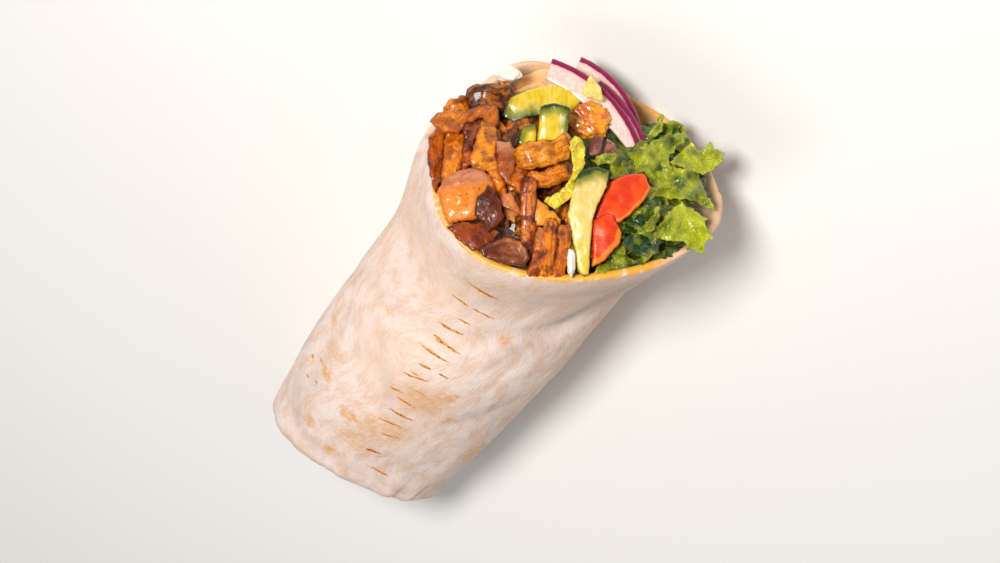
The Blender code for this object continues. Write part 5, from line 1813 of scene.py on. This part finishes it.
class GYRO_OT_soft_pieces(bpy.types.Operator):
    """Cooked onion, the yellow leaf edge and the crisp flake"""

    bl_idname = "gyro.soft_pieces"
    bl_label = "Onion, leaf edge and flake"

    def execute(self, context):
        finish = soft_finish("cooked onion")
        for name in ("cooked_onion_left", "cooked_onion_right"):
            make_slice(name, finish, "cooked_onion", corner=0.06)
        flake = soft_finish("crisp flake")
        make_slice("crisp_flake", flake, "crisp_flake", corner=0.08, ragged=0.3, rounding=0.4, bumps=0.4)
        yellow = leaf_finish("yellow leaf edge", (0.88, 0.68, 0.06), (0.55, 0.36, 0.01))
        depth, lean, thickness, outline = SLICES["yellow_lettuce"]
        step = in_mm(settings().point_spacing) * 0.8
        border = dense(eased(outline, 0.2, 2), step, 0.5, 1.1, 3)
        points, faces, places, gaps = slab(border, depth, lean, thickness, waves(0.8, 7, 1.1), step, 0.6)
        leaf = [(p[0] * 0.8, p[1] * 0.8 + 3.0, 0.0) for p in places]
        light = [0.75 + 0.5 * noise.noise(Vector(p) / 2.5) for p in places]
        name = "yellow_lettuce"
        single(name, yellow, name, points, faces, leaf=leaf, from_edge=gaps, light=light)
        return {"FINISHED"}


class GYRO_OT_sauces(bpy.types.Operator):
    """The chilli sauce and the two smears of garlic sauce"""

    bl_idname = "gyro.sauces"
    bl_label = "Sauces"

    def execute(self, context):
        chilli, garlic = soft_finish("chilli sauce"), soft_finish("garlic sauce")
        make_blob("chilli_sauce", chilli, "chilli_sauce", 0.28, 72)
        make_blob("garlic_sauce_front", garlic, "garlic_sauce", 0.10)
        make_blob("garlic_sauce_back", garlic, "garlic_sauce", 0.04)
        return {"FINISHED"}


class GYRO_OT_crumbs(bpy.types.Operator):
    """Crumbs of crust and spice strewn over the meat"""

    bl_idname = "gyro.crumbs"
    bl_label = "Crumbs"

    def execute(self, context):
        look = settings()
        finish = soft_finish("crumbs of crust")
        for seed, name in enumerate(("meat_strips", "meat_slices")):
            crumbs = placed(f"{name}_crumbs", bpy.data.objects[name].data.copy())
            applied(crumbs_tree(), crumbs, {
                "Density": look.crumb_density, "Largest": look.crumb_size, "Seed": look.crumb_seed + seed,
                "Material": finish,
            })
            crumbs.data.shade_smooth()
            finish_piece(crumbs, "meat", "gyro_meat")
        return {"FINISHED"}


class GYRO_OT_stage(bpy.types.Operator):
    """The floor, the soft lights and the camera"""

    bl_idname = "gyro.stage"
    bl_label = "Floor, lights and camera"

    def execute(self, context):
        look = settings()
        right, up, towards = front_frame()
        target = CAMERA_TARGET * MM
        floor_mesh = bpy.data.meshes.new("floor")
        low, high = -FLOOR_HALF, FLOOR_HALF
        corners = [(x, y, FLOOR_LEVEL) for x, y in ((low, low), (high, low), (high, high), (low, high))]
        floor_mesh.from_pydata(corners, [], [(0, 1, 2, 3)])
        floor = placed("floor", floor_mesh)
        finish, _, shader, _ = new_finish("plain floor", 0.6)
        shader.inputs["Base Color"].default_value = (*look.floor_colour, 1.0)
        floor_mesh.materials.append(finish)

        camera_data = bpy.data.cameras.new("camera")
        camera_data.lens = CAMERA_LENS
        camera_data.clip_start = 0.01
        camera = placed("camera", camera_data)
        matrix = Matrix((right, up, towards)).transposed().to_4x4()
        matrix.translation = target + towards * CAMERA_AWAY * MM
        camera.matrix_world = matrix
        bpy.context.scene.camera = camera

        powers = {"key": look.key_power, "fill": look.fill_power, "top": TOP_SHARE * look.fill_power}
        for name, (way, distance, size, colour) in LIGHTS.items():
            lamp = bpy.data.lights.new(name, "AREA")
            lamp.shape, lamp.size, lamp.energy, lamp.color = "DISK", size, powers[name], colour
            obj = placed(name, lamp)
            away = Vector(way).normalized()
            obj.location = target + away * distance
            obj.rotation_euler = away.to_track_quat("Z", "Y").to_euler()

        world = bpy.data.worlds.new("soft light")
        world.use_nodes = True
        sky = world.node_tree.nodes["Background"].inputs
        sky["Color"].default_value = (1.0, 1.0, 1.0, 1.0)
        sky["Strength"].default_value = look.world_strength
        bpy.context.scene.world = world
        bpy.context.scene.view_settings.view_transform = "Standard"
        return {"FINISHED"}


OPERATORS = (
    GYRO_OT_stage, GYRO_OT_tortilla, GYRO_OT_meat, GYRO_OT_salad, GYRO_OT_cucumber, GYRO_OT_tomato,
    GYRO_OT_red_onion, GYRO_OT_soft_pieces, GYRO_OT_sauces, GYRO_OT_crumbs,
)


class GYRO_PT_wrap(bpy.types.Panel):
    """Sizes and colours of the wrap, and a button for each group of its pieces"""

    bl_idname = "GYRO_PT_wrap"
    bl_label = "Gyro wrap"
    bl_space_type = "VIEW_3D"
    bl_region_type = "UI"
    bl_category = "Gyro wrap"

    def draw(self, context):
        for name in GyroWrapSettings.__annotations__:
            self.layout.prop(context.scene.gyro_wrap, name)
        for operator in OPERATORS:
            self.layout.operator(operator.bl_idname)


def register():
    for item in (GyroWrapSettings, *OPERATORS, GYRO_PT_wrap):
        bpy.utils.register_class(item)
    bpy.types.Scene.gyro_wrap = bpy.props.PointerProperty(type=GyroWrapSettings)


def unregister():
    del bpy.types.Scene.gyro_wrap
    for item in (GYRO_PT_wrap, *reversed(OPERATORS), GyroWrapSettings):
        bpy.utils.unregister_class(item)


def main():
    register()
    for operator in OPERATORS:
        group, name = operator.bl_idname.split(".")
        getattr(getattr(bpy.ops, group), name)()


if __name__ == "__main__":
    main()
